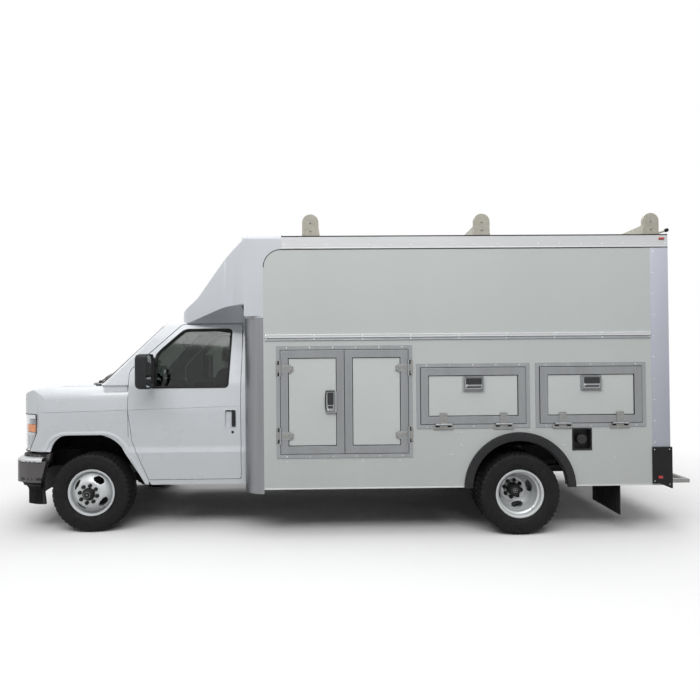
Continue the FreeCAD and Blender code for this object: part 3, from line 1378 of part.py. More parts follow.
def make_body_roof():
    half, wall = d.body_half, d.wall
    start, end = behind(d.cap_flange_x), behind(d.body_rear_x)
    plate = d.body_top_z - d.roof_thickness
    corners = [(-half, d.eave_z), (-half + wall, d.eave_z), (-half + wall, plate), (half - wall, plate),
               (half - wall, d.eave_z), (half, d.eave_z), (half, d.body_top_z, 45), (-half, d.body_top_z, 45)]
    rails = prism("roof_rails", "yz", corners, start, end)
    front = behind(d.body_front_x)
    ahead = box("roof_ahead", (front, start), (-half + 60, half - 60), (plate, d.body_top_z))
    inner = d.body_half - d.post_radius
    bulkhead = box("front_wall", (front, front + d.wall), (-inner, inner), (d.floor_z, plate))
    way = cab_section("front_way", d.cab_wall, d.sill_z, front - 1, front + d.wall + 1)
    subpart("body_roof", joined("body_roof", [rails, ahead, cut("front_wall_cut", bulkhead, [way])]))


def make_corner_posts():
    front = behind(d.body_front_x)
    radius = d.post_radius
    axis = (front + radius, -d.body_half + radius, 0)
    outer = cylinder("post_outer", "z", radius, d.post_low_z, d.post_high_z, axis)
    inner = cylinder("post_inner", "z", radius - d.post_wall, d.post_low_z - 1, d.post_high_z + 1, axis)
    quarter = box("post_quarter", (front, front + radius), (-d.body_half, -d.body_half + radius),
                  (d.post_low_z, d.post_high_z))
    both_sides("corner_posts", shared("post_near", [cut("post_tube", outer, [inner]), quarter]))


def make_rear_frame():
    rear = behind(d.body_rear_x)
    inside = d.body_half - d.wall
    plate = box("rear_plate", (rear - d.wall, rear), (-inside, inside), (d.wall_low_z, d.eave_z + 60))
    doorway = box("rear_doorway", (rear - d.wall - 1, rear + 1), (-d.rear_door_half, d.rear_door_half),
                  (d.rear_door_low_z, d.rear_door_high_z))
    below = box("rear_below", (rear - d.wall - 1, rear + 1), (-d.rear_door_half, d.rear_door_half),
                (d.wall_low_z - 1, d.floor_z - d.floor_thickness))
    return cut("rear_plate_cut", plate, [doorway, below])


# A face that doors hang on: p runs along the hinge, q across towards the leaf, r outwards
class Face:
    def __init__(self, axes, signs, origin):
        self.axes = axes
        self.signs = signs
        self.origin = origin

    def span(self, key, low, high):
        start = self.origin[key]
        if self.signs[key] > 0:
            return start + low, start + high
        return start - high, start - low

    def block(self, name, **spans):
        sides = {}
        for key, (low, high) in spans.items():
            sides[self.axes["pqr".index(key)]] = self.span("pqr".index(key), low, high)
        return box(name, sides["x"], sides["y"], sides["z"])

    def bar(self, name, radius, low, high):
        """A round bar on the hinge line."""
        centre = {self.axes[i]: self.origin[i] for i in range(3)}
        ends = self.span(0, low, high)
        return cylinder(name, self.axes[0], radius, ends[0], ends[1],
                        (centre["x"], centre["y"], centre["z"]))


def hinge(name, face, at, skin_out, leaf_out):
    """Fixed half with pin and end knuckles, and moving half with barrel and strap.

    The face's origin is on the hinge line; skin_out and leaf_out say how far inside
    that line the fixed skin and the leaf's outer face lie.
    """
    length = d.hinge_length
    end, mid = length * 0.26, length * 0.27
    fixed = joined(name + "_fixed", [
        face.bar(name + "_pin", d.hinge_radius / 2, at, at + length),
        face.bar(name + "_knuckle_a", d.hinge_radius, at, at + end),
        face.bar(name + "_knuckle_b", d.hinge_radius, at + length - end, at + length),
        face.block(name + "_foot_a", p=(at, at + end), q=(-26, 0), r=(-skin_out, -skin_out + d.hinge_leaf)),
        face.block(name + "_foot_b", p=(at + length - end, at + length), q=(-26, 0),
                   r=(-skin_out, -skin_out + d.hinge_leaf)),
        face.block(name + "_riser_a", p=(at, at + end), q=(-6, 0), r=(-skin_out, 0)),
        face.block(name + "_riser_b", p=(at + length - end, at + length), q=(-6, 0), r=(-skin_out, 0))])
    bore = face.bar(name + "_bore", d.hinge_radius / 2 + d.kingpin_clearance, at + mid - 1, at + length - mid + 1)
    moving = cut(name + "_moving", joined(name + "_strap_solid", [
        face.bar(name + "_barrel", d.hinge_radius, at + mid, at + length - mid),
        face.block(name + "_strap", p=(at + mid, at + length - mid), q=(0, d.hinge_reach),
                   r=(-leaf_out, -leaf_out + d.hinge_leaf))]), [bore])
    return fixed, moving


def side_face(hinge_x, hinge_z, way):
    """The driver's wall; way is +x, -x or +z, from the hinge line towards the leaf."""
    out = -d.body_half - d.leaf_proud - d.hinge_radius - d.knuckle_clearance
    if way == "+z":
        return Face("xzy", (1, 1, -1), (0, hinge_z, out))
    return Face("zxy", (1, 1 if way == "+x" else -1, -1), (0, hinge_x, out))


def leaf_panel(name, xs, zs, recesses):
    """A leaf with mitred borders round its sunken panels."""
    outer = -d.body_half - d.leaf_proud
    solid = box(name + "_solid", xs, (outer, outer + d.leaf_thickness), zs)
    tools = [box(f"{name}_panel_{i}", recess[0], (outer - 1, outer + d.panel_depth), recess[1])
             for i, recess in enumerate(recesses)]
    return cut(name + "_recessed", solid, tools)


def latch(name, xs, zs):
    outer = -d.body_half - d.leaf_proud
    return box(name, xs, (outer - d.latch_proud, outer + d.panel_depth), zs)


def locker_leaf(node, leaf, hinges, handles):
    near = subpart(node + "_left", joined(node + "_left", [leaf] + handles + [half[1] for half in hinges]))
    subpart(node + "_right", mirrored(node + "_right", near))
    return [half[0] for half in hinges]


def make_lockers():
    outer = -d.body_half
    leaf_out = d.hinge_radius + d.knuckle_clearance
    skin_out = d.leaf_proud + leaf_out - d.frame_proud
    flange, gap, border = d.frame_flange, d.leaf_gap, d.panel_border
    fixed = {}
    shells = []
    for word, spot in locker_places().items():
        ring = cut(f"{word}_ring", frame_opening(f"{word}_ring_outer", spot, 0, (outer - d.frame_proud, outer)),
                   [frame_opening(f"{word}_ring_inner", spot, flange, (outer - d.frame_proud - 1, outer + 1))])
        fixed[word] = [ring]
        shell = frame_opening(f"{word}_shell_outer", spot, flange - d.locker_wall,
                              (outer + d.wall, -d.locker_inner_y))
        room = frame_opening(f"{word}_shell_inner", spot, flange,
                             (outer + d.wall - 1, -d.locker_inner_y - d.locker_wall))
        shells.append(cut(f"{word}_shell", shell, [room]))

    front, rear = behind(d.tall_front_x) + flange, behind(d.tall_rear_x) - flange
    low, high = d.tall_low_z + flange + gap, d.tall_high_z - flange - gap
    middle = (front + rear) / 2
    straps = (low + 90, high - 90 - d.hinge_length)
    zs = (low + border, high - border)
    latch_z = (low + high) / 2 - d.latch_height / 2
    handle = latch("tall_front_latch", (middle - gap / 2 - border - d.latch_width, middle - gap / 2 - border),
                   (latch_z, latch_z + d.latch_height))
    halves = (("tall_front", (front + gap, middle - gap / 2), side_face(front + gap / 2, 0, "+x"), [handle]),
              ("tall_rear", (middle + gap / 2, rear - gap), side_face(rear - gap / 2, 0, "-x"), []))
    for node, xs, face, handles in halves:
        panel = leaf_panel(node, xs, (low, high), [((xs[0] + border, xs[1] - border), zs)])
        hinges = [hinge(f"{node}_hinge_{i}", face, at, skin_out, leaf_out) for i, at in enumerate(straps)]
        fixed["tall"] += locker_leaf(node, panel, hinges, handles)

    low, high = d.flap_low_z + flange + gap, d.flap_high_z - flange - gap
    for node, start, end in (("mid_flap", d.mid_front_x, d.mid_rear_x), ("aft_flap", d.aft_front_x, d.aft_rear_x)):
        xs = (behind(start) + flange + gap, behind(end) - flange - gap)
        panel = leaf_panel(node, xs, (low, high),
                           [((xs[0] + border, xs[1] - border), (low + border, high - border))])
        face = side_face(0, low - gap / 2, "+z")
        spots = (xs[0] + 130, xs[1] - 130 - d.hinge_length)
        hinges = [hinge(f"{node}_hinge_{i}", face, at, skin_out, leaf_out) for i, at in enumerate(spots)]
        centre = (xs[0] + xs[1]) / 2
        top = high - border - d.flap_latch_drop
        handle = latch(node + "_latch", (centre - d.latch_height / 2, centre + d.latch_height / 2),
                       (top - d.flap_latch_height, top))
        fixed[node[:3]] += locker_leaf(node, panel, hinges, [handle])

    both_sides("lockers", together("locker_shells", shells))
    both_sides("locker_frames", together("locker_rings", [
        joined(f"{word}_frame", pieces) for word, pieces in fixed.items()]))


# Rear doors and the frame that they hang in
def make_rear_end():
    rear = behind(d.body_rear_x)
    leaf_out = d.hinge_radius + d.knuckle_clearance
    skin_out = d.leaf_proud + leaf_out
    line = rear + d.leaf_proud + leaf_out
    gap = d.leaf_gap
    face = Face("zyx", (1, 1, 1), (0, -d.rear_door_half + gap / 2, line))
    low, high = d.rear_door_low_z + gap, d.rear_door_high_z - gap
    outer = rear + d.leaf_proud
    ys = (-d.rear_door_half + gap, -gap / 2)
    solid = box("rear_leaf", (outer - d.rear_door_thickness, outer), ys, (low, high))
    margin = d.rear_window_margin
    window = box("rear_window", (outer - d.rear_door_thickness - 1, outer + 1),
                 (ys[0] + margin, ys[1] - margin), (d.rear_window_low_z, d.rear_window_high_z))
    spots = (low + 100, (low + high) / 2 - d.hinge_length / 2, high - 100 - d.hinge_length)
    hinges = [hinge(f"rear_hinge_{i}", face, at, skin_out, leaf_out) for i, at in enumerate(spots)]
    handle = box("rear_latch", (outer - 1, outer + d.latch_proud), (ys[1] - 60, ys[1] - 15),
                 (1150, 1150 + d.latch_height))
    near = subpart("rear_door_left", joined("rear_door_left", [
        cut("rear_leaf_cut", solid, [window]), handle] + [half[1] for half in hinges]))
    subpart("rear_door_right", mirrored("rear_door_right", near))
    middle = outer - d.rear_door_thickness / 2
    pane = box("rear_pane", (middle, middle + d.glass_thickness), (ys[0] + margin, ys[1] - margin),
               (d.rear_window_low_z, d.rear_window_high_z))
    glass = subpart("rear_glass_left", pane)
    subpart("rear_glass_right", mirrored("rear_glass_right", glass))
    fixed = [half[0] for half in hinges]
    twins = [mirrored(f"rear_hinge_twin_{i}", half) for i, half in enumerate(fixed)]
    subpart("rear_frame", joined("rear_frame", [make_rear_frame()] + fixed + twins))


# Black arch flares, and the fuel filler's cup in the driver's wall
def make_flares():
    outer = -d.body_half
    centre = (behind(d.flare_x), 0, d.flare_z)
    ring = cut("flare_near", cylinder("flare_outer", "y", d.flare_radius, outer - d.flare_proud, outer, centre),
               [cylinder("flare_inner", "y", d.flare_inner, outer - d.flare_proud - 1, outer + 1, centre),
                box("flare_foot", (behind(d.flare_x) - 600, behind(d.flare_x) + 600),
                    (outer - d.flare_proud - 1, outer + 1), (-200, d.flare_z + 10))])
    xs = (behind(d.filler_front_x), behind(d.filler_rear_x))
    cup = cut("filler_cup", box("filler_outer", xs, (outer - 4, outer + d.filler_depth),
                                (d.filler_low_z, d.filler_high_z)),
              [box("filler_room", (xs[0] + d.filler_wall, xs[1] - d.filler_wall),
                   (outer - 5, outer + d.filler_depth - d.filler_wall),
                   (d.filler_low_z + d.filler_wall, d.filler_high_z - d.filler_wall))])
    cap = cylinder("filler_cap", "y", 42, outer + d.filler_depth - d.filler_wall - 30,
                   outer + d.filler_depth - d.filler_wall + 1,
                   ((xs[0] + xs[1]) / 2, 0, (d.filler_low_z + d.filler_high_z) / 2))
    subpart("arch_flares", together("arch_flares", [ring, mirrored("flare_far", ring)]))
    subpart("fuel_filler", joined("fuel_filler", [cup, cap]))


def make_tail_lamps():
    front, rear = behind(d.tail_front_x), behind(d.body_rear_x)
    outer = -d.body_half - d.tail_proud
    slant = d.tail_low_z + 27
    side = prism("tail_side", "xz", [(front, slant), (front + 60, slant), (rear, d.tail_low_z - 18),
                                     (rear + d.tail_proud, d.tail_low_z - 18),
                                     (rear + d.tail_proud, d.tail_high_z), (front, d.tail_high_z)],
                 outer, -d.body_half)
    back = box("tail_back", (rear, rear + d.tail_proud), (outer, -d.body_half + d.tail_depth),
               (slant, d.tail_high_z))
    both_sides("tail_lamps", joined("tail_near", [side, back]))


def make_mud_flaps():
    start = behind(d.flap_x)
    sheet_flap = box("flap_sheet", (start, start + d.flap_thickness), (-d.body_half + d.wall + 2, -d.flap_inner_y),
                     (d.flap_drop_z, d.flap_top_z))
    bracket = box("flap_bar", (start + d.flap_thickness, start + d.flap_thickness + 35),
                  (-d.body_half + d.wall + 10, -d.rail_half_width), (d.flap_top_z - 40, d.flap_top_z))
    both_sides("mud_flaps", joined("mud_flap_near", [sheet_flap, bracket]))


# Moulded cap that runs from the cab roof up to the body roof
def cap_form(name, inset):
    half, top = d.body_half - inset, d.cap_top_z - inset
    rear = behind(d.cap_flange_x)
    brow = behind(d.cap_brow_x) + inset
    profile = prism(name + "_profile", "xz",
                    [(brow, d.roof_edge_z - 20), (brow, d.cap_brow_z, 60), (behind(1005) + inset, 2215 - inset * 0.5, 400),
                     (behind(1310) + inset, 2535 - inset * 0.5, 400), (behind(1560) + inset * 0.5, top, 110), (rear, top),
                     (rear, d.roof_edge_z - 20)], -SIDE_REACH * 2, SIDE_REACH * 2)
    low = d.cap_side_z + inset
    section = prism(name + "_section", "yz",
                    [(-d.roof_half + inset, d.roof_edge_z - 10 + inset), (d.roof_half - inset, d.roof_edge_z - 10 + inset),
                     (half, low, 24), (half, top, 60), (-half, top, 60), (-half, low, 24)],
                    behind(d.cap_brow_x) - 50, rear)
    side = [(rear, half), (behind(d.cap_shoulder_x), half, 400),
            (brow, d.cap_brow_half - inset, 250)]
    flipped = [(corner[0], -corner[1]) + tuple(corner[2:]) for corner in reversed(side)]
    plan = prism(name + "_plan", "xy", side + flipped, d.roof_edge_z - 20, d.cap_top_z + 5)
    return shared(name, [profile, section, plan])


def make_cap():
    shoulder, rear = behind(d.body_front_x) + 24, behind(d.cap_flange_x)
    half, wall = d.body_half, d.cap_wall
    hood_part = cut("cap_front", cap_form("cap_outer", 0), [
        cap_form("cap_inner", wall),
        cab_section("cap_roof_line", 0, d.sill_z, behind(d.cap_brow_x) - 100, behind(d.cab_rear_x) + 1)])
    skirt = [box(f"cap_skirt_{side}", (shoulder, rear), ys, (d.post_high_z, d.eave_z + 10))
             for side, ys in (("near", (-half, -half + wall)), ("far", (half - wall, half)))]
    room = prism("cap_room", "yz", [(-half + wall, 0), (half - wall, 0), (half - wall, d.body_top_z, 45),
                                    (-half + wall, d.body_top_z, 45)],
                 behind(d.body_front_x), rear + 1)
    walls = prism("cap_wall_line", "xz", wall_outline(), -half - 1, half + 1)
    above = box("cap_behind", (rear, rear + 200), (-half - 1, half + 1), (d.sill_z, d.cap_top_z + 5))
    subpart("cab_cap", cut("cab_cap", joined("cap_solid", [hood_part] + skirt), [room, walls, above]))


# Ladder rack: three channel bars with round-topped uprights at their ends
def make_rack():
    pieces = []
    base = d.body_top_z
    for i, station in enumerate((d.rack_first_x, d.rack_second_x, d.rack_third_x)):
        start, end = behind(station), behind(station) + d.rack_width
        post = prism(f"rack_post_{i}", "xz", [(start, base), (end, base), (end, d.rack_top_z, d.rack_width * 0.49),
                                              (start, d.rack_top_z, d.rack_width * 0.49)],
                     -d.rack_half, -d.rack_half + 30)
        bar = box(f"rack_bar_{i}", (start, end), (-d.rack_half + 30, d.rack_half - 30),
                  (base, base + d.rack_bar_height))
        hollow = box(f"rack_hollow_{i}", (start + d.rack_wall, end - d.rack_wall), (-d.rack_half, d.rack_half),
                     (base - 1, base + d.rack_bar_height - d.rack_wall))
        pieces.append(joined(f"rack_{i}", [cut(f"rack_channel_{i}", bar, [hollow]), post,
                                           mirrored(f"rack_post_far_{i}", post)]))
    subpart("roof_rack", together("roof_rack", pieces))


# Rear step: a rimmed tray of grating on two brackets under the rails
def make_step():
    front, rear = behind(d.body_rear_x) + d.tail_proud + 4, behind(d.wheelbase + d.rear_overhang)
    low, high = d.step_low_z, d.step_low_z + d.step_height
    rim = cut("step_rim", box("step_tray", (front, rear), (-d.step_half, d.step_half), (low, high)),
              [box("step_room", (front + d.step_border, rear - d.step_border),
                   (-d.step_half + d.step_border, d.step_half - d.step_border), (low - 1, high + 1))])
    count = int((2 * (d.step_half.number - d.step_border.number)) // d.step_bar_pitch.number)
    bars = [box(f"step_bar_{i}", (front + d.step_border - 2, rear - d.step_border + 2),
                (-d.step_half + d.step_border + d.step_bar_pitch * (i + 0.5),
                 -d.step_half + d.step_border + d.step_bar_pitch * (i + 0.5) + d.step_bar),
                (low + 4, high - 2)) for i in range(count)]
    arms = []
    for side, sign in (("near", -1), ("far", 1)):
        centre = sign * (d.rail_half_width - d.rail_flange / 2)
        arms.append(box(f"step_arm_{side}", (behind(d.rail_rear_x) - 90, rear - d.step_border + 2),
                        (centre - 30, centre + 30), (high - 6, d.rail_top - d.rail_height)))
    subpart("rear_bumper", joined("rear_bumper", [rim] + bars + arms))


# Cab interior that shows through the glass
def make_interior():
    cushions = []
    pedestals = []
    for side, sign in (("driver", -1), ("kerb", 1)):
        centre = sign * d.seat_y
        ys = (centre - d.seat_width / 2, centre + d.seat_width / 2)
        front = behind(d.seat_x) - d.seat_depth / 2
        rear = behind(d.seat_x) + d.seat_depth / 2
        low = d.seat_z - d.seat_cushion
        profile = [(front, low, 30), (rear + 60, low, 30), (rear + 170, d.seat_z + d.seat_back_height, 40),
                   (rear + 70, d.seat_z + d.seat_back_height, 40), (rear - 20, d.seat_z, 30), (front, d.seat_z, 40)]
        cushions.append(prism(f"{side}_seat", "xz", profile, ys[0], ys[1]))
        pedestals.append(box(f"{side}_pedestal", (front + 60, rear), (ys[0] + 50, ys[1] - 50),
                             (d.cab_floor_z, low)))
    subpart("seats", together("seats", cushions))
    subpart("seat_pedestals", together("seat_pedestals", pedestals))

    start = behind(d.firewall_x) + d.skin
    half = d.cab_half - d.cab_wall - 50
    dash = prism("dash_block", "xz", [(start, d.dash_low_z + 100), (behind(d.dash_rear_x) - 60, d.dash_low_z + 100, 30),
                                      (behind(d.dash_rear_x), d.dash_high_z - 90, 60),
                                      (behind(d.dash_rear_x) - 90, d.dash_high_z - 20, 60),
                                      (start, d.dash_high_z - 20)], -half, half)
    wheel = doc.addObject("Part::Torus", "steering_rim")
    bind(wheel, "Radius1", d.steering_radius)
    bind(wheel, "Radius2", d.steering_rim)
    wheel.Placement = FreeCAD.Placement(FreeCAD.Vector(), FreeCAD.Rotation(FreeCAD.Vector(0, 1, 0), 55))
    hub_x, hub_y, hub_z = behind(d.dash_rear_x) + 130, -d.seat_y, d.dash_high_z - 20
    place(wheel, hub_x, hub_y, hub_z)
    column = doc.addObject("Part::Cylinder", "steering_column")
    bind(column, "Radius", 28)
    bind(column, "Height", 240)
    column.Placement = FreeCAD.Placement(FreeCAD.Vector(), FreeCAD.Rotation(FreeCAD.Vector(0, 1, 0), 235))
    place(column, hub_x, hub_y, hub_z)
    spoke = cylinder("steering_spoke", "y", 13, hub_y - d.steering_radius, hub_y + d.steering_radius,
                     (hub_x, 0, hub_z))
    subpart("dashboard", joined("dashboard", [dash, wheel, column, spoke]))


def export():
    doc.recompute()
    failed = [item.Name for item in doc.Objects if "Invalid" in item.State or "Error" in item.State]
    if failed:
        raise RuntimeError("failed to build: " + ", ".join(failed))
    os.makedirs("parts", exist_ok=True)
    for piece in SUBPARTS:
        if piece.Shape.isNull() or not piece.Shape.isValid():
            raise RuntimeError("no valid shape: " + piece.Label)
    for piece in SUBPARTS:
        piece.Shape.exportStep(f"parts/{piece.Label}.step")


make_frame()
make_powertrain()
make_fuel_tank()
make_exhaust()
make_front_axle()
make_knuckles()
make_rear_axle()
make_front_wheels()
make_rear_wheels()
bare_cab = make_cab_shell()
make_screen()
make_doors(bare_cab)
make_nose()
make_bumper()
make_wheel_houses()
make_body_floor()
make_body_sides()
make_body_roof()
make_corner_posts()
make_lockers()
make_rear_end()
make_flares()
make_tail_lamps()
make_mud_flaps()
make_cap()
make_rack()
make_step()
make_interior()
export()
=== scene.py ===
"""Looks of the cutaway service-body van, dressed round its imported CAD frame.

Shapes are written in millimetres: x behind the front axle, y across with the driver's side
negative, z up.  They are turned into the frame's metres when a piece is made.
"""

import json
import math

import bmesh
import bpy
from mathutils import Matrix, Vector
from mathutils.bvhtree import BVHTree


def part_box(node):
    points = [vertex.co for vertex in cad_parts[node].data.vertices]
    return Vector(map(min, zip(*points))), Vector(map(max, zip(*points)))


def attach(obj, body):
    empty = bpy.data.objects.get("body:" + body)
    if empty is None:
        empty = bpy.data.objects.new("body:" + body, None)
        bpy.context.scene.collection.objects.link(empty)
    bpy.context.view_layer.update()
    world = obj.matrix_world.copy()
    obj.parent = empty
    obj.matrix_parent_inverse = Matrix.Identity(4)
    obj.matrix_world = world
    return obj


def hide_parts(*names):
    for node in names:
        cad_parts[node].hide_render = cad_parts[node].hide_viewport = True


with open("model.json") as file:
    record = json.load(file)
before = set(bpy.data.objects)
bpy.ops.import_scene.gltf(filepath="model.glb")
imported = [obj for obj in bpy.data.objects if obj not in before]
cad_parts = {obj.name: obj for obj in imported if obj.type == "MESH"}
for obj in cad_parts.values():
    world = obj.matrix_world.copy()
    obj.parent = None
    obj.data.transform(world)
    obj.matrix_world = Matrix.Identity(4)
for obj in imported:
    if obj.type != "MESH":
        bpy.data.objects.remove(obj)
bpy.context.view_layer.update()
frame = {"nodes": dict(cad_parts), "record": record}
NODES = frame["nodes"]

# Camera at the photograph's place
CAMERA_PLACE = (0.0005, -6.1855, 1.6586)
CAMERA_YAW = -0.8837
CAMERA_PITCH = 0.5358
CAMERA_ROLL = -0.4953
PHOTO_SIDE = 700
FOCAL_PIXELS = 543.91
SENSOR = 36

# This script's x counts from the front axle, in millimetres
FRONT_AXLE = round(sum(end[0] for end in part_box("tyre_front_right")) * 500, 1)


def spans(node):
    """A CAD node's reach in x, y and z at rest, in this script's millimetres."""
    low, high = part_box(node)
    return [(round(low[i] * 1000 - start, 1), round(high[i] * 1000 - start, 1))
            for i, start in enumerate((FRONT_AXLE, 0, 0))]


def middle(span):
    return (span[0] + span[1]) / 2


# Places that many pieces share, in millimetres
FRONT_MIDDLE = middle(spans("tyre_front_right")[1])
REAR_AXLE, REAR_MIDDLE, _ = [middle(span) for span in spans("tyres_rear_right")]
AXLE_HEIGHT = round(middle(spans("wheel_front_right")[2]))
REAR_WALL = spans("body_roof")[0][1]
WALL = spans("body_roof")[1][1]
ROOF = spans("body_roof")[2][1]
PANEL = WALL + 2
RING = WALL + 6
LEAF = WALL + 12
REAR_FACE = spans("tail_lamps")[0][1]
SIDES = (("left", 1), ("right", -1))
MERGE = 0.01


def make_camera():
    data = bpy.data.cameras.new("camera")
    camera = bpy.data.objects.new("camera", data)
    bpy.context.scene.collection.objects.link(camera)
    data.sensor_width = SENSOR
    data.lens = SENSOR * FOCAL_PIXELS / PHOTO_SIDE
    data.clip_end = 200
    yaw, pitch = math.radians(CAMERA_YAW), math.radians(CAMERA_PITCH)
    forward = Vector((-math.sin(yaw) * math.cos(pitch), math.cos(yaw) * math.cos(pitch), math.sin(pitch)))
    turn = forward.to_track_quat("-Z", "Y")
    roll = Matrix.Rotation(math.radians(CAMERA_ROLL), 3, "Z")
    camera.matrix_world = Matrix.Translation(CAMERA_PLACE) @ (turn.to_matrix() @ roll).to_4x4()
    bpy.context.scene.camera = camera


make_camera()


# Materials, and the record's slot of each one whose slot has another name
MATERIALS = {}


class Nodes:
    """A material's node tree, with short ways to add and link."""

    def __init__(self, name):
        self.material = bpy.data.materials.new(name)
        self.material.use_nodes = True
        self.tree = self.material.node_tree
        self.shader = self.tree.nodes["Principled BSDF"]
        self.place = self.add("ShaderNodeTexCoord").outputs["Object"]
        MATERIALS[name] = self.material

    def add(self, kind, **values):
        node = self.tree.nodes.new(kind)
        for key, value in values.items():
            if key in ("operation", "blend_type", "data_type", "wave_type", "bands_direction", "feature"):
                setattr(node, key, value)
            else:
                node.inputs[key.replace("_", " ")].default_value = value
        return node

    def link(self, start, end):
        self.tree.links.new(start, end)

    def set(self, **values):
        for key, value in values.items():
            self.shader.inputs[key.replace("_", " ")].default_value = value

    def stretched(self, scale):
        turn = self.add("ShaderNodeMapping", Scale=scale)
        self.link(self.place, turn.inputs["Vector"])
        return turn.outputs["Vector"]

    def noise(self, scale, detail=4.0, stretch=None):
        node = self.add("ShaderNodeTexNoise", Scale=scale, Detail=detail)
        self.link(self.stretched(stretch) if stretch else self.place, node.inputs["Vector"])
        return node.outputs["Fac"]

    def between(self, source, low, high, start=0.3, end=0.7):
        node = self.add("ShaderNodeMapRange")
        for key, value in (("From Min", start), ("From Max", end), ("To Min", low), ("To Max", high)):
            node.inputs[key].default_value = value
        self.link(source, node.inputs["Value"])
        return node.outputs["Result"]

    def mix(self, factor, first, second):
        node = self.add("ShaderNodeMix", data_type="RGBA")
        if isinstance(factor, (int, float)):
            node.inputs[0].default_value = factor
        else:
            self.link(factor, node.inputs[0])
        for socket, value in ((node.inputs[6], first), (node.inputs[7], second)):
            if isinstance(value, tuple):
                socket.default_value = value + (1,)
            else:
                self.link(value, socket)
        return node.outputs[2]

    def tone(self, color, spread, scale, stretch=None):
        """A colour that wanders a little either side of what is written."""
        low = tuple(channel * (1 - spread) for channel in color)
        high = tuple(min(1, channel * (1 + spread)) for channel in color)
        return self.mix(self.between(self.noise(scale, 5.0, stretch), 0, 1), low, high)

    def bump(self, height, strength, distance, under=None):
        node = self.add("ShaderNodeBump", Strength=strength, Distance=distance)
        self.link(height, node.inputs["Height"])
        if under:
            self.link(under, node.inputs["Normal"])
        return node.outputs["Normal"]

    def height(self):
        split = self.add("ShaderNodeSeparateXYZ")
        self.link(self.place, split.inputs[0])
        return split.outputs["Z"]


def surface(name, color, rough, metal=0.0, spread=0.03, scale=6.0, stretch=None, grain=None, dust=0.0,
            coat=0.0, specular=0.5):
    """A finish with wandering tone and roughness, fine grain, and road dust low down."""
    n = Nodes(name)
    base = n.tone(color, spread, scale, stretch)
    if dust:
        low = n.between(n.height(), dust, 0, 0.25, 1.0)
        patch = n.between(n.noise(9.0, 6.0), 0.3, 1.0)
        amount = n.add("ShaderNodeMath", operation="MULTIPLY")
        n.link(low, amount.inputs[0])
        n.link(patch, amount.inputs[1])
        base = n.mix(amount.outputs[0], base, (0.33, 0.31, 0.28))
    n.link(base, n.shader.inputs["Base Color"])
    n.link(n.between(n.noise(scale * 3, 6.0, stretch), rough * 0.85, min(1, rough * 1.2)),
           n.shader.inputs["Roughness"])
    n.set(Metallic=metal, Coat_Weight=coat, Coat_Roughness=0.06, Specular_IOR_Level=specular)
    if grain:
        grain_scale, strength, distance = grain
        n.link(n.bump(n.noise(grain_scale, 3.0, stretch), strength, distance), n.shader.inputs["Normal"])
    return n


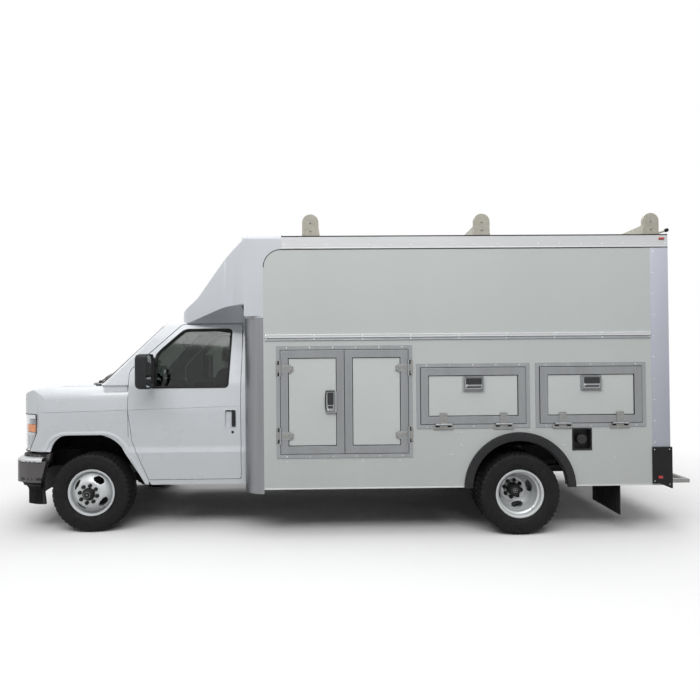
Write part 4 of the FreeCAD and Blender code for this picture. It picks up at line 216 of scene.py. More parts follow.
def make_materials():
    surface("white_paint", (0.70, 0.73, 0.76), 0.28, scale=1.5, spread=0.015, grain=(420, 0.04, 0.0004),
            coat=0.5, dust=0.05)
    surface("wall_white", (0.60, 0.63, 0.62), 0.38, scale=1.2, spread=0.025, stretch=(1, 1, 0.25),
            grain=(3.0, 0.10, 0.004), dust=0.10)
    surface("panel_white", (0.66, 0.69, 0.68), 0.35, scale=2.0, spread=0.02, grain=(200, 0.05, 0.0005))
    surface("corner_white", (0.56, 0.58, 0.66), 0.35, scale=2.0, spread=0.02, grain=(200, 0.05, 0.0005),
            dust=0.08)
    surface("fibreglass", (0.66, 0.69, 0.73), 0.34, scale=1.5, spread=0.025, grain=(60, 0.10, 0.0008),
            coat=0.3)
    surface("aluminium", (0.30, 0.31, 0.32), 0.40, metal=0.85, scale=14, spread=0.06, stretch=(1, 1, 0.06),
            grain=(900, 0.12, 0.0003))
    surface("rail_metal", (0.62, 0.63, 0.64), 0.40, metal=0.35, scale=10, spread=0.03, stretch=(0.08, 1, 1),
            grain=(700, 0.08, 0.0003))
    surface("post_metal", (0.25, 0.254, 0.265), 0.36, metal=0.85, scale=30, spread=0.10,
            stretch=(1, 1, 0.02), grain=(1200, 0.10, 0.0003))
    surface("bright_metal", (0.62, 0.62, 0.62), 0.25, metal=0.9, scale=40, spread=0.05,
            grain=(500, 0.05, 0.0002))
    surface("chrome", (0.72, 0.73, 0.74), 0.10, metal=1.0, scale=8, spread=0.03, grain=(300, 0.02, 0.0002))
    surface("black_plastic", (0.014, 0.0145, 0.016), 0.50, scale=25, spread=0.25, grain=(900, 0.35, 0.0004),
            dust=0.02, specular=0.3)
    surface("gloss_black", (0.012, 0.012, 0.014), 0.22, scale=25, spread=0.2, grain=(300, 0.03, 0.0002))
    surface("rubber", (0.007, 0.007, 0.0075), 0.62, scale=20, spread=0.3, grain=(500, 0.3, 0.0005),
            dust=0.02, specular=0.25)
    surface("tyre", (0.0065, 0.0065, 0.007), 0.66, scale=12, spread=0.3, grain=(350, 0.35, 0.0006),
            dust=0.012, specular=0.22)
    surface("wheel_paint", (0.66, 0.68, 0.69), 0.32, metal=0.25, scale=12, spread=0.03,
            grain=(250, 0.05, 0.0004), dust=0.06)
    surface("chassis_black", (0.006, 0.006, 0.0065), 0.6, scale=8, spread=0.3, grain=(90, 0.3, 0.001),
            dust=0.03, specular=0.3)
    surface("cast_iron", (0.035, 0.033, 0.031), 0.65, metal=0.4, scale=9, spread=0.35,
            grain=(140, 0.6, 0.0012), dust=0.05)
    surface("grille", (0.10, 0.10, 0.105), 0.30, scale=20, spread=0.1, grain=(400, 0.08, 0.0003))
    # Dark grey colour on the chrome bumper: a painted reflection of the dark ground under the van
    surface("bumper", (0.095, 0.09, 0.092), 0.28, metal=0.6, scale=6, spread=0.05,
            grain=(250, 0.03, 0.0003), dust=0.08)
    surface("liner", (0.004, 0.004, 0.004), 0.75, scale=10, spread=0.3, grain=(260, 0.4, 0.0008),
            specular=0.15)
    surface("galvanised", (0.28, 0.28, 0.273), 0.42, metal=0.65, scale=45, spread=0.12,
            grain=(70, 0.12, 0.0004))
    surface("rack_paint", (0.44, 0.42, 0.36), 0.50, scale=30, spread=0.10, grain=(160, 0.15, 0.0004))
    surface("floor", (0.10, 0.10, 0.10), 0.6, scale=20, spread=0.2, grain=(160, 0.5, 0.0015))
    surface("interior", (0.020, 0.020, 0.022), 0.6, scale=18, spread=0.15, grain=(600, 0.4, 0.0005))
    surface("headliner", (0.12, 0.12, 0.115), 0.8, scale=30, spread=0.06, grain=(800, 0.3, 0.0004))
    surface("amber", (0.90, 0.24, 0.01), 0.12, scale=30, spread=0.08, grain=(260, 0.2, 0.0006), coat=0.5)
    surface("red_lens", (0.45, 0.012, 0.010), 0.12, scale=30, spread=0.10, grain=(220, 0.25, 0.0008),
            coat=0.5)
    surface("lens_white", (0.70, 0.70, 0.70), 0.15, scale=30, spread=0.05, grain=(220, 0.2, 0.0008),
            coat=0.5)

    n = Nodes("glass")
    n.set(Base_Color=(0.19, 0.215, 0.20, 1), Roughness=0.03, IOR=1.45, Transmission_Weight=1.0)
    n.link(n.bump(n.noise(1.2, 2.0), 0.05, 0.002), n.shader.inputs["Normal"])
    n = Nodes("lamp")
    n.set(Base_Color=(0.93, 0.94, 0.95, 1), IOR=1.40, Transmission_Weight=1.0)
    n.link(n.between(n.noise(25.0), 0.02, 0.06), n.shader.inputs["Roughness"])
    n = Nodes("mirror_glass")
    n.set(Metallic=1.0, Roughness=0.03)
    n.link(n.tone((0.70, 0.73, 0.75), 0.02, 3.0), n.shader.inputs["Base Color"])
    n = Nodes("tail_lamp")
    n.set(Coat_Weight=0.05, Specular_IOR_Level=0.2)
    n.link(n.tone((0.008, 0.008, 0.009), 0.2, 20.0), n.shader.inputs["Base Color"])
    n.link(n.between(n.noise(25.0), 0.35, 0.5), n.shader.inputs["Roughness"])

    n = Nodes("fabric")
    weave = n.add("ShaderNodeTexWave", wave_type="BANDS", bands_direction="DIAGONAL", Scale=260.0,
                  Distortion=1.5)
    n.link(n.place, weave.inputs["Vector"])
    n.link(n.mix(weave.outputs["Fac"], (0.040, 0.041, 0.044), (0.095, 0.096, 0.10)),
           n.shader.inputs["Base Color"])
    n.link(n.between(n.noise(40.0), 0.8, 0.95), n.shader.inputs["Roughness"])
    n.set(Sheen_Weight=0.4, Sheen_Roughness=0.5)
    n.link(n.bump(weave.outputs["Fac"], 0.5, 0.0006, n.bump(n.noise(14.0), 0.4, 0.004)),
           n.shader.inputs["Normal"])


make_materials()


def smooth_group():
    """Smooth shading up to an angle, as a modifier, so that a CAD node's mesh stays as it is."""
    tree = bpy.data.node_groups.new("smooth_by_angle", "GeometryNodeTree")
    tree.interface.new_socket("Mesh", in_out="INPUT", socket_type="NodeSocketGeometry")
    tree.interface.new_socket("Mesh", in_out="OUTPUT", socket_type="NodeSocketGeometry")
    start, end = tree.nodes.new("NodeGroupInput"), tree.nodes.new("NodeGroupOutput")
    faces = tree.nodes.new("GeometryNodeSetShadeSmooth")
    edges = tree.nodes.new("GeometryNodeSetShadeSmooth")
    edges.domain = "EDGE"
    edges.inputs["Shade Smooth"].default_value = False
    angle = tree.nodes.new("GeometryNodeInputMeshEdgeAngle")
    sharp = tree.nodes.new("FunctionNodeCompare")
    sharp.operation = "GREATER_THAN"
    sharp.inputs["B"].default_value = math.radians(28)
    tree.links.new(start.outputs[0], faces.inputs["Geometry"])
    tree.links.new(faces.outputs[0], edges.inputs["Geometry"])
    tree.links.new(angle.outputs["Unsigned Angle"], sharp.inputs["A"])
    tree.links.new(sharp.outputs[0], edges.inputs["Selection"])
    tree.links.new(edges.outputs[0], end.inputs[0])
    return tree


SMOOTH = smooth_group()


def shade(obj, bevel=0.0):
    """Smooth faces and, where a width is given, broken edges."""
    if bevel:
        edge = obj.modifiers.new("edge", "BEVEL")
        edge.width = bevel / 1000
        edge.segments = 2
        edge.limit_method = "ANGLE"
        edge.angle_limit = math.radians(32)
        edge.use_clamp_overlap = True
    obj.modifiers.new("smooth", "NODES").node_group = SMOOTH


def paint_nodes():
    """The finish of every CAD node that stays in view."""
    for item in frame["record"]["subparts"]:
        node, slot = item["node"], item["material_slot"]
        obj = NODES[node]
        obj.data.materials.clear()
        obj.data.materials.append(MATERIALS[FINISH.get(node, slot)])
        shade(obj)


FINISH = {"body_roof": "rail_metal", "corner_posts": "post_metal", "roof_rack": "rack_paint",
          "exhaust": "galvanised", "lockers": "rail_metal"}
paint_nodes()


# Mesh building
def turns(count, phase=0):
    """Angles round a circle."""
    return [2 * math.pi * (i + phase) / count for i in range(count)]


def on_side(a, b, h):
    """Along, up and outwards, as a place on the driver's side."""
    return (a, -h, b)


def on_back(a, b, h):
    """Across, up and backwards, as a place on a wall across the van."""
    return (h, a, b)


def on_rear(a, b, h):
    """The same, with the height measured from the rear face."""
    return on_back(a, b, REAR_FACE + h)


class Form:
    """A mesh in the making, in millimetres, on the driver's side unless it is central."""

    def __init__(self):
        self.bm = bmesh.new()

    def box(self, xs, ys, zs, edge=0.0, steps=2):
        low, high = Vector((xs[0], ys[0], zs[0])), Vector((xs[1], ys[1], zs[1]))
        made = bmesh.ops.create_cube(self.bm, size=1)["verts"]
        for vert in made:
            vert.co = Vector([low[i] + (vert.co[i] + 0.5) * (high[i] - low[i]) for i in range(3)])
        if edge:
            edges = list(dict.fromkeys(e for v in made for e in v.link_edges))
            bmesh.ops.bevel(self.bm, geom=edges, offset=edge, segments=steps, profile=0.5, affect="EDGES")
        return self

    def loops(self, rings, close=True, cap_start=False, cap_end=False):
        """Skin between rings of points that have the same count."""
        made = [[self.bm.verts.new(point) for point in ring] for ring in rings]
        count = len(rings[0])
        for a, b in zip(made, made[1:]):
            for i in range(count if close else count - 1):
                j = (i + 1) % count
                self.bm.faces.new((a[i], a[j], b[j], b[i]))
        if cap_start:
            self.bm.faces.new(list(reversed(made[0])))
        if cap_end:
            self.bm.faces.new(made[-1])
        return self

    def solid(self, rings):
        """A closed form through rings of points."""
        return self.loops(rings, cap_start=True, cap_end=True)

    def turned(self, profile, centre, axis="y", sides=48, caps=(True, True)):
        """A round form: profile is (along the axis, radius) from one end to the other."""
        u, v, w = {"x": ((0, 1, 0), (0, 0, 1), (1, 0, 0)), "y": ((0, 0, 1), (1, 0, 0), (0, 1, 0)),
                   "z": ((1, 0, 0), (0, 1, 0), (0, 0, 1))}[axis]
        u, v, w, middle = Vector(u), Vector(v), Vector(w), Vector(centre)
        rings = []
        for along, radius in profile:
            rings.append([middle + w * along + (u * math.cos(turn) + v * math.sin(turn)) * radius
                          for turn in turns(sides)])
        return self.loops(rings, True, caps[0], caps[1])

    def rod(self, start, end, radius, sides=16):
        return self.tube([start, end], radius, sides)

    def tube(self, path, radius, sides=12, closed=False):
        """A round bar along points."""
        points = [Vector(point) for point in path]
        count = len(points)
        rings = []
        side = None
        for i, point in enumerate(points):
            before = points[i - 1] if i or closed else point
            after = points[(i + 1) % count] if i < count - 1 or closed else point
            way = (after - before).normalized()
            if side is None:
                side = way.orthogonal().normalized()
            side = (side - way * side.dot(way)).normalized()
            up = way.cross(side)
            rings.append([point + (side * math.cos(turn) + up * math.sin(turn)) * radius
                          for turn in turns(sides)])
        if closed:
            self.loops(rings + rings[:1])
            bmesh.ops.remove_doubles(self.bm, verts=self.bm.verts, dist=MERGE)
            return self
        return self.solid(rings)

    def rivet(self, centre, normal, radius=8.0, height=2.6, sides=10):
        """A domed head on a surface."""
        way = Vector(normal).normalized()
        side = way.orthogonal().normalized()
        up = way.cross(side)
        rings = []
        for share, lift in ((1.0, 0.0), (0.92, 0.45), (0.62, 0.85), (0.22, 1.0)):
            middle = Vector(centre) + way * height * lift
            rings.append([middle + (side * math.cos(turn) + up * math.sin(turn)) * radius * share
                          for turn in turns(sides)])
        return self.loops(rings, True, False, True)

    def frame(self, rect, profile, round_to=0.0, place=on_side, cap=False):
        """A border that runs round a rectangle: profile is (distance inwards, height) from the outside in.

        place turns (across, up, height) into x, y, z.  Square corners come out mitred.
        """
        left, right, low, high = rect
        rings = []
        for inwards, height in profile:
            corners = ((left + inwards, low + inwards), (right - inwards, low + inwards),
                       (right - inwards, high - inwards), (left + inwards, high - inwards))
            ring = rounded(corners, max(0.0, round_to - inwards)) if round_to else corners
            rings.append([place(a, b, height) for a, b in ring])
        return self.loops(rings, True, False, cap)

    def plate(self, corners, low, high):
        """A flat (x, z) outline on the driver's side, between two distances from the middle."""
        return self.solid([[on_side(a, b, h) for a, b in corners] for h in (low, high)])


def rounded(corners, radius, steps=5):
    """The same outline with its corners rounded, always with the same count of points."""
    points = []
    count = len(corners)
    for i, corner in enumerate(corners):
        here = Vector(corner)
        back = Vector(corners[i - 1]) - here
        ahead = Vector(corners[(i + 1) % count]) - here
        reach = min(max(radius, 0.01), back.length * 0.49, ahead.length * 0.49)
        start, end = here + back.normalized() * reach, here + ahead.normalized() * reach
        for k in range(steps + 1):
            t = k / steps
            points.append(tuple(start * (1 - t) ** 2 + here * 2 * t * (1 - t) + end * t ** 2))
    return points


def make_object(name, bm):
    mesh = bpy.data.meshes.new(name)
    bm.to_mesh(mesh)
    bm.free()
    obj = bpy.data.objects.new(name, mesh)
    bpy.context.scene.collection.objects.link(obj)
    return obj


def to_frame(bm, side, middle=0):
    """Turns millimetres into the frame's metres, mirrored to the kerb side where side is -1."""
    for vert in bm.verts:
        x, y, z = vert.co
        vert.co = ((x + FRONT_AXLE) / 1000, (y - middle) * side / 1000, z / 1000)
    bmesh.ops.recalc_face_normals(bm, faces=bm.faces)


def place_piece(obj, body, material):
    """What every piece says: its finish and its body."""
    obj.data.materials.clear()
    obj.data.materials.append(MATERIALS[material])
    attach(obj, body)


def finish(name, form, body, material, side=1, bevel=0.0, subdivide=0, replaces=(), thickness=0.0):
    """Turns a form into a piece that rides on a body; side -1 mirrors it to the kerb side."""
    to_frame(form.bm, side)
    obj = make_object(name, form.bm)
    if thickness:
        skin = obj.modifiers.new("skin", "SOLIDIFY")
        skin.thickness = thickness / 1000
        skin.offset = 0
    if subdivide:
        rounder = obj.modifiers.new("round", "SUBSURF")
        rounder.levels = rounder.render_levels = subdivide
    shade(obj, bevel)
    place_piece(obj, body, material)
    if replaces:
        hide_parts(*replaces)
    return obj


def leaf_rect(name, left=0, right=0, foot=0):
    """A leaf's outline without the knuckles of its hinge."""
    xs, _, zs = spans(f"{name}_left")
    return (xs[0] + left, xs[1] - right, zs[0] + foot, zs[1])


# Lockers: mitred aluminium borders, pale panels, latches and hinge straps
KNUCKLE = 12
LEAVES = {"tall_front": leaf_rect("tall_front", left=KNUCKLE),
          "tall_rear": leaf_rect("tall_rear", right=KNUCKLE),
          "mid_flap": leaf_rect("mid_flap", foot=KNUCKLE), "aft_flap": leaf_rect("aft_flap", foot=KNUCKLE)}
BORDER = 68
RIB_PITCH = 8.6
LEAF_FACE = LEAF + 2
TALL_HINGES = (930, 1540)


def rib_profile():
    """The ribbed extrusion of a leaf's border, from its outer edge inwards."""
    profile = [(0, LEAF - 2), (0.6, LEAF_FACE - 0.6), (2, LEAF_FACE)]
    for i in range(7):
        start = 5 + i * RIB_PITCH
        profile += [(start, LEAF_FACE), (start + 0.8, LEAF_FACE - 1.4), (start + 2.6, LEAF_FACE - 1.4),
                    (start + 3.4, LEAF_FACE)]
    return profile + [(BORDER - 2, LEAF_FACE), (BORDER, LEAF_FACE - 1), (BORDER + 0.6, PANEL - 2)]


def dress_leaf(name, rect, side, word):
    """A leaf's ribbed border, its seal and its pale panel."""
    body = f"{name}_{word}"
    finish(f"{name}_border_{word}", Form().frame(rect, rib_profile()), body, "aluminium", side)
    left, right, low, high = rect
    inner = (left + BORDER, right - BORDER, low + BORDER, high - BORDER)
    seal = [(-2, PANEL - 1), (-1, PANEL + 3.2), (1.5, PANEL + 4.4), (4.5, PANEL + 4.4), (6.5, PANEL + 3),
            (7.5, PANEL - 1)]
    finish(f"{name}_seal_{word}", Form().frame(inner, seal, 12), body, "rubber", side)
    plate = [(6, PANEL - 1), (6, PANEL + 1.4), (8, PANEL + 2.2), (14, PANEL + 2.6)]
    finish(f"{name}_panel_{word}", Form().frame(inner, plate, 14, cap=True), body, "panel_white", side)


def barrel(rect, bulge, steps=6):
    """A latch outline whose sides bow outwards."""
    left, right, low, high = rect
    middle, tall = (left + right) / 2, high - low
    half = (right - left) / 2
    points = []
    for i in range(steps + 1):
        t = i / steps
        points.append((middle + half - bulge * (2 * t - 1) ** 2, low + tall * t))
    for i in range(steps + 1):
        t = 1 - i / steps
        points.append((middle - half + bulge * (2 * t - 1) ** 2, low + tall * t))
    return points


def shrunk(points, by):
    """The same outline drawn in on every side."""
    centre = Vector((sum(p[0] for p in points) / len(points), sum(p[1] for p in points) / len(points)))
    wide = max(p[0] for p in points) - centre[0]
    tall = max(p[1] for p in points) - centre[1]
    return [(centre[0] + (p[0] - centre[0]) * (1 - by / wide),
             centre[1] + (p[1] - centre[1]) * (1 - by / tall))
            for p in points]


def dress_latch(name, rect, body, word, side, upright):
    """A black paddle latch: bezel, dish, paddle and key cylinder, over its CAD block."""
    foot = LEAF + 15
    outline = rounded(barrel(rect, 9 if upright else 4), 3, 2)
    bezel = [(0, PANEL), (0, foot - 5), (1, foot - 2), (3.5, foot + 0.2), (8, foot + 1.2), (11, foot + 1.2),
             (13, foot + 0.4)]
    form = Form().loops([[on_side(a, b, h) for a, b in shrunk(outline, by)] for by, h in bezel],
                        cap_end=True)
    finish(f"{name}_bezel_{word}", form, body, "black_plastic", side)
    left, right, low, high = rect
    wide, tall = right - left, high - low
    paddle = Form()
    if upright:
        room = (left + wide * 0.24, right - wide * 0.20, low + tall * 0.34, high - tall * 0.08)
    else:
        room = (left + wide * 0.12, right - wide * 0.10, low + tall * 0.42, high - tall * 0.12)
    lift = [(0, foot), (0, foot + 3), (2, foot + 4.6), (9, foot + 4.8), (12, foot + 3.8)]
    paddle.frame(room, lift, 9, cap=True)
    slit = (room[0] + 6, room[1] - 6, low + tall * 0.18, low + tall * 0.30)
    paddle.frame(slit, [(0, foot + 0.5), (0.5, foot + 2.6), (3, foot + 3), (5, foot + 2)], 4, cap=True)
    finish(f"{name}_paddle_{word}", paddle, body, "gloss_black", side)
    key_x = left + wide * (0.3 if upright else 0.16)
    key_z = low + tall * (0.13 if upright else 0.36)
    key = Form().turned([(0, 8), (3.2, 8), (4, 7), (4, 5.4), (3, 5)], (key_x, -foot - 4.2, key_z), "y", 20)
    key.box((key_x - 0.9, key_x + 0.9), (-foot - 4.6, -foot - 3.5), (key_z - 4, key_z + 4), 0.3)
    finish(f"{name}_key_{word}", key, body, "bright_metal", side)


def strap_plate(form, rect, y_low, y_high, screws):
    """A plate with its screw heads at shares of its width and height."""
    left, right, low, high = rect
    form.frame(rect, [(0, y_low), (0, y_high - 1.2), (1.2, y_high)], 4, cap=True)
    for a, b in screws:
        form.rivet((left + (right - left) * a, -y_high, low + (high - low) * b), (0, -1, 0), 6.5, 3)


def dress_hinges(word, side):
    """Bright strap hinges: the leaf's half on the leaf, the wall's half on the chassis."""
    fixed = Form()
    for zc in TALL_HINGES:
        for name, edge, way in (("tall_front", 1829, 1), ("tall_rear", 2996, -1)):
            near, far = edge + way * 12, edge + way * 118
            strap = Form()
            strap_plate(strap, (min(near, far), max(near, far), zc - 22, zc + 22), LEAF - 1, LEAF + 7,
                        ((0.25, 0.5), (0.5, 0.5), (0.78, 0.5))
                        if way > 0 else ((0.75, 0.5), (0.5, 0.5), (0.22, 0.5)))
            finish(f"{name}_strap_{zc}_{word}", strap, f"{name}_{word}", "galvanised", side)
            near, far = edge - way * 8, edge - way * 40
            strap_plate(fixed, (min(near, far), max(near, far), zc - 70, zc + 70), WALL - 1, RING + 5,
                        ((0.4, 0.14), (0.4, 0.5), (0.4, 0.86)))
    for name in ("mid_flap", "aft_flap"):
        left, right = LEAVES[name][:2]
        for i, start in enumerate((left + 130, right - 280)):
            strap = Form()
            strap_plate(strap, (start + 42, start + 108, 1026, 1122), LEAF - 1, LEAF + 7,
                        ((0.28, 0.4), (0.28, 0.8), (0.72, 0.4), (0.72, 0.8)))
            finish(f"{name}_strap_{i}_{word}", strap, f"{name}_{word}", "galvanised", side)
            strap_plate(fixed, (start - 18, start + 168, 972, 1008), WALL - 1, RING + 5,
                        ((0.1, 0.4), (0.37, 0.4), (0.63, 0.4), (0.9, 0.4)))
    finish(f"hinge_plates_{word}", fixed, "chassis", "galvanised", side)


def row(start, end, count):
    """Evenly spaced values, both ends among them."""
    return [start + (end - start) * i / (count - 1) for i in range(count)]


def quarter(steps=10):
    """Angles from 0 to a right angle."""
    return [math.pi / 2 * i / steps for i in range(steps + 1)]


def dress_wall(word, side):
    """Rivets, belt rail, roof band, sill trim, cap seam, corner panel and post collar."""
    rivets = Form()
    out = (0, -1, 0)
    for x in row(1700, 5225, 9):
        rivets.rivet((x, -WALL - 8.3, 1838), out, 6, 2.2)
        rivets.rivet((x, -WALL - 8.3, 1806), out, 6, 2.2)
    for x in row(1870, 5380, 19):
        rivets.rivet((x, -WALL - 2, 2664), out, 6, 2.4)
    for z in row(836, 2590, 10):
        rivets.rivet((5262, -WALL - 1.6, z), out, 6, 2.2)
    for name_rect, count in (((1792, 3033, 725, 1745), 6), ((3069, 4110, 982, 1574), 5),
                             ((4163, 5182, 982, 1574), 5)):
        left, right, low, high = name_rect
        for x in row(left + 95, right - 95, count):
            rivets.rivet((x, -RING - 0.2, high - 17), out, 5.5, 2)
            rivets.rivet((x, -RING - 0.2, low + 14), out, 5.5, 2)
    for x, z in ((1895, 690), (2235, 690), (2575, 690), (2915, 690), (3480, 942), (3478, 828), (3390, 745),
                 (4117, 944), (4420, 820), (4570, 700), (4885, 700)):
        rivets.rivet((x, -WALL - 0.2, z), out, 6, 2.2)
    finish(f"wall_rivets_{word}", rivets, "chassis", "bright_metal", side)

    def bar(x0, x1, section):
        """A straight (y, z) section from one place along the van to another."""
        form = Form()
        return form.solid([[(x, -y, z) for y, z in section] for x in (x0, x1)])

    upper = [(WALL, 1850), (WALL + 8.5, 1849), (WALL + 10.5, 1846), (WALL + 8.6, 1842), (WALL + 8.6, 1828),
             (WALL + 12.5, 1825), (WALL + 12.5, 1820), (WALL + 8.6, 1818), (WALL, 1817)]
    finish(f"belt_upper_{word}", bar(1693, 5231, upper), "chassis", "rail_metal", side)
    lower = [(WALL, 1817), (WALL + 8.6, 1816), (WALL + 8.4, 1802), (WALL + 10.2, 1799), (WALL + 8, 1796),
             (WALL, 1795)]
    finish(f"belt_lower_{word}", bar(1693, 5231, lower), "chassis", "aluminium", side)
    # A thin black strip between the two rails: a painted shadow line
    shadow = [(WALL, 1819.5), (WALL + 9.6, 1819), (WALL + 9.6, 1815.5), (WALL, 1815)]
    finish(f"belt_shadow_line_{word}", bar(1694, 5230, shadow), "chassis", "rubber", side)

    gutter = [(WALL - 2, ROOF), (WALL + 3, ROOF - 1), (WALL + 5, ROOF - 5), (WALL + 3, ROOF - 10),
              (WALL - 2, ROOF - 11)]
    finish(f"roof_seal_{word}", bar(1846, REAR_WALL - 2, gutter), "chassis", "rubber", side)
    lip = [(WALL - 2, ROOF - 11), (WALL + 2, ROOF - 11), (WALL + 2, 2644), (WALL + 4.5, 2640),
           (WALL + 4.5, 2634), (WALL - 2, 2632)]
    finish(f"roof_band_{word}", bar(1847, REAR_WALL - 1, lip), "chassis", "rail_metal", side)
    trim = [(WALL - 2, 452), (WALL + 2.5, 452), (WALL + 4, 449), (WALL + 4, 441), (WALL, 440)]
    for i, (x0, x1) in enumerate(((1684, 3499), (4521, 5234))):
        finish(f"sill_trim_{i}_{word}", bar(x0, x1, trim), "chassis", "rail_metal", side)

    seam = [(1842 - 162 * math.cos(t), 2466 + 162 * math.sin(t)) for t in quarter()]
    seam.append((REAR_WALL - 2, 2629))
    finish(f"cap_seam_{word}", Form().tube([(x, -WALL - 0.5, z) for x, z in seam], 3.2, 8), "chassis",
           "rubber", side)
    outline = [(5238, 792), (REAR_WALL, 792), (REAR_WALL, 2630), (5238, 2630)]
    corner = Form().plate(outline, WALL - 1, WALL + 1.6)
    finish(f"corner_panel_{word}", corner, "chassis", "corner_white", side, bevel=0.6)
    rear = spans("corner_posts")[0][1]
    post = [(rear - 201.5 * math.cos(t), 200 - WALL - 201.5 * math.sin(t)) for t in quarter()]
    cap = Form().solid([[(x, y, z) for x, y in post] + [(rear, 190 - WALL, z)]
                        for z in (2006, 2008, 2026, 2028)])
    finish(f"post_collar_{word}", cap, "chassis", "fibreglass", side, bevel=1)


def dress_body_side():
    """Both sides of the service body."""
    for word, side in SIDES:
        for name, rect in LEAVES.items():
            dress_leaf(name, rect, side, word)
        dress_latch("tall_latch", (2233, 2333, 1140, 1338), f"tall_front_{word}", word, side, True)
        dress_latch("mid_latch", (3497, 3683, 1326, 1456), f"mid_flap_{word}", word, side, False)
        dress_latch("aft_latch", (4580, 4766, 1326, 1456), f"aft_flap_{word}", word, side, False)
        dress_hinges(word, side)
        dress_wall(word, side)


dress_body_side()


# Wheels: pressed rims with slots, nuts and hubs, and tyres with tread blocks
DISC_FACE = 136
STUDS = 82
SLOT_SECTORS = 120
NUTS = 8
NUT_PHASE = 0.76
SLOT_CIRCLE = 149
SLOT_HALF_WIDTH = 24
SLOT_HALF_TURN = 20
RIM_EDGE = [(83, 203.5), (83.5, 214), (84, 219), (85.5, 221.3), (87.5, 221.6), (88.8, 219.6), (88.9, 214),
            (87.6, 208), (84, 202), (76, 197.6), (66, 195.6), (54, 194.8), (47, 193), (42, 187), (37, 180),
            (30, 178.6)]
DISC_ROWS = [(30, 185), (36, 182.6), (46, 179.5), (60, 176), (76, 171.5), (84, 167), (92, 162), (100, 156),
             (107, 149.5), (113, 143), (119, 136), (125, 128.5), (130, 122), (134, 115), (135.6, 110),
             (136, 103), (136, 96), (136, 70), (136, 60), (134, 53)]


def turned_ring(form, profile, place, sides=72):
    """A closed round section; profile is (along, radius)."""
    made = Form()
    made.turned(profile + profile[:1], place, "y", sides, (False, False))
    bmesh.ops.remove_doubles(made.bm, verts=made.bm.verts, dist=MERGE)
    join(form, made)


def join(form, other):
    """Moves another form's mesh into this one."""
    mesh = bpy.data.meshes.new("joined")
    other.bm.to_mesh(mesh)
    form.bm.from_mesh(mesh)
    bpy.data.meshes.remove(mesh)
    other.bm.free()


def rim_form(centre):
    """The barrel with its well, from lip to lip."""
    form = Form()
    outer = [(-along, radius) for along, radius in RIM_EDGE] + [(along, radius) for along,
                                                                radius in reversed(RIM_EDGE)]
    under = [(82, 203), (52, 202), (40, 187.5), (-40, 187.5), (-52, 202), (-82, 203)]
    turned_ring(form, outer + under, centre)
    return form


def disc_form(centre, out, phase):
    """The dished disc as one skin with four slots; it gets its thickness from a modifier."""
    form = Form()
    rings = [[Vector(centre) + Vector((radius * math.cos(t), along * out, radius * math.sin(t)))
              for t in turns(SLOT_SECTORS, 0.5)] for along, radius in DISC_ROWS]
    form.loops(rings)
    holes = []
    for face in form.bm.faces:
        middle = face.calc_center_median() - Vector(centre)
        radius = math.hypot(middle.x, middle.z)
        turn = (math.degrees(math.atan2(middle.z, middle.x)) - phase + 45) % 90 - 45
        if ((radius - SLOT_CIRCLE) / SLOT_HALF_WIDTH) ** 2 + (turn / SLOT_HALF_TURN) ** 2 < 1:
            holes.append(face)
    bmesh.ops.delete(form.bm, geom=holes, context="FACES")
    return form


def nut(form, x, z, face):
    """A flanged hexagon nut with the end of its stud."""
    for profile, sides in (([(0, 19), (-4, 19), (-7, 16.5)], 20), ([(-6, 16), (-22, 16), (-25, 13)], 6),
                           ([(-24, 8), (-31, 8), (-32.5, 6)], 14)):
        form.turned(profile, (x, face, z), "y", sides)


def dress_wheel(name, body, place, centres, hub_profile, nut_face, phase, side, cap_radius, bolts=()):
    """One body's rims with their discs, a hub and eight nuts; place is (axle x, the hub's middle y)."""
    axle, middle = place
    rims = Form()
    for centre_y, out in centres:
        join(rims, rim_form((axle, centre_y, AXLE_HEIGHT)))
    finish(f"{name}_rims", rims, body, "wheel_paint", side, replaces=(body,))
    for i, (centre_y, out) in enumerate(centres):
        disc = disc_form((axle, centre_y, AXLE_HEIGHT), out, phase)
        finish(f"{name}_disc_{i}", disc, body, "wheel_paint", side, thickness=9, subdivide=1)
    hub = Form().turned(hub_profile, (axle, middle, AXLE_HEIGHT), "y", 48)
    finish(f"{name}_hub", hub, body, "chassis_black", side, bevel=1.2)
    nuts = Form()
    for turn in turns(NUTS, NUT_PHASE):
        nut(nuts, axle + STUDS * math.cos(turn), AXLE_HEIGHT + STUDS * math.sin(turn), nut_face)
    for radius, reach in bolts:
        for turn in turns(NUTS):
            spot = (axle + radius * math.cos(turn), middle, AXLE_HEIGHT + radius * math.sin(turn))
            nuts.turned([(reach, 5.5), (reach - 5, 5.5)], spot, "y", 6)
    finish(f"{name}_nuts", nuts, body, "chassis_black", side, bevel=0.6)
    end = hub_profile[-1][0]
    cap = Form().turned([(end + 3, cap_radius), (end - 0.2, cap_radius), (end - 0.4, cap_radius - 2),
                         (end + 1, cap_radius - 5), (end + 1, 9), (end - 0.3, 7)],
                         (axle, middle, AXLE_HEIGHT), "y", 32)
    finish(f"{name}_hub_cap", cap, body, "galvanised", side)
    stem = Vector((axle + 118, centres[0][0] - 62, AXLE_HEIGHT - 143))
    valve = Form().tube([stem, stem + Vector((-5, -14, 7)), stem + Vector((-10, -22, 13))], 3.4, 10)
    finish(f"{name}_valve", valve, body, "rubber", side)


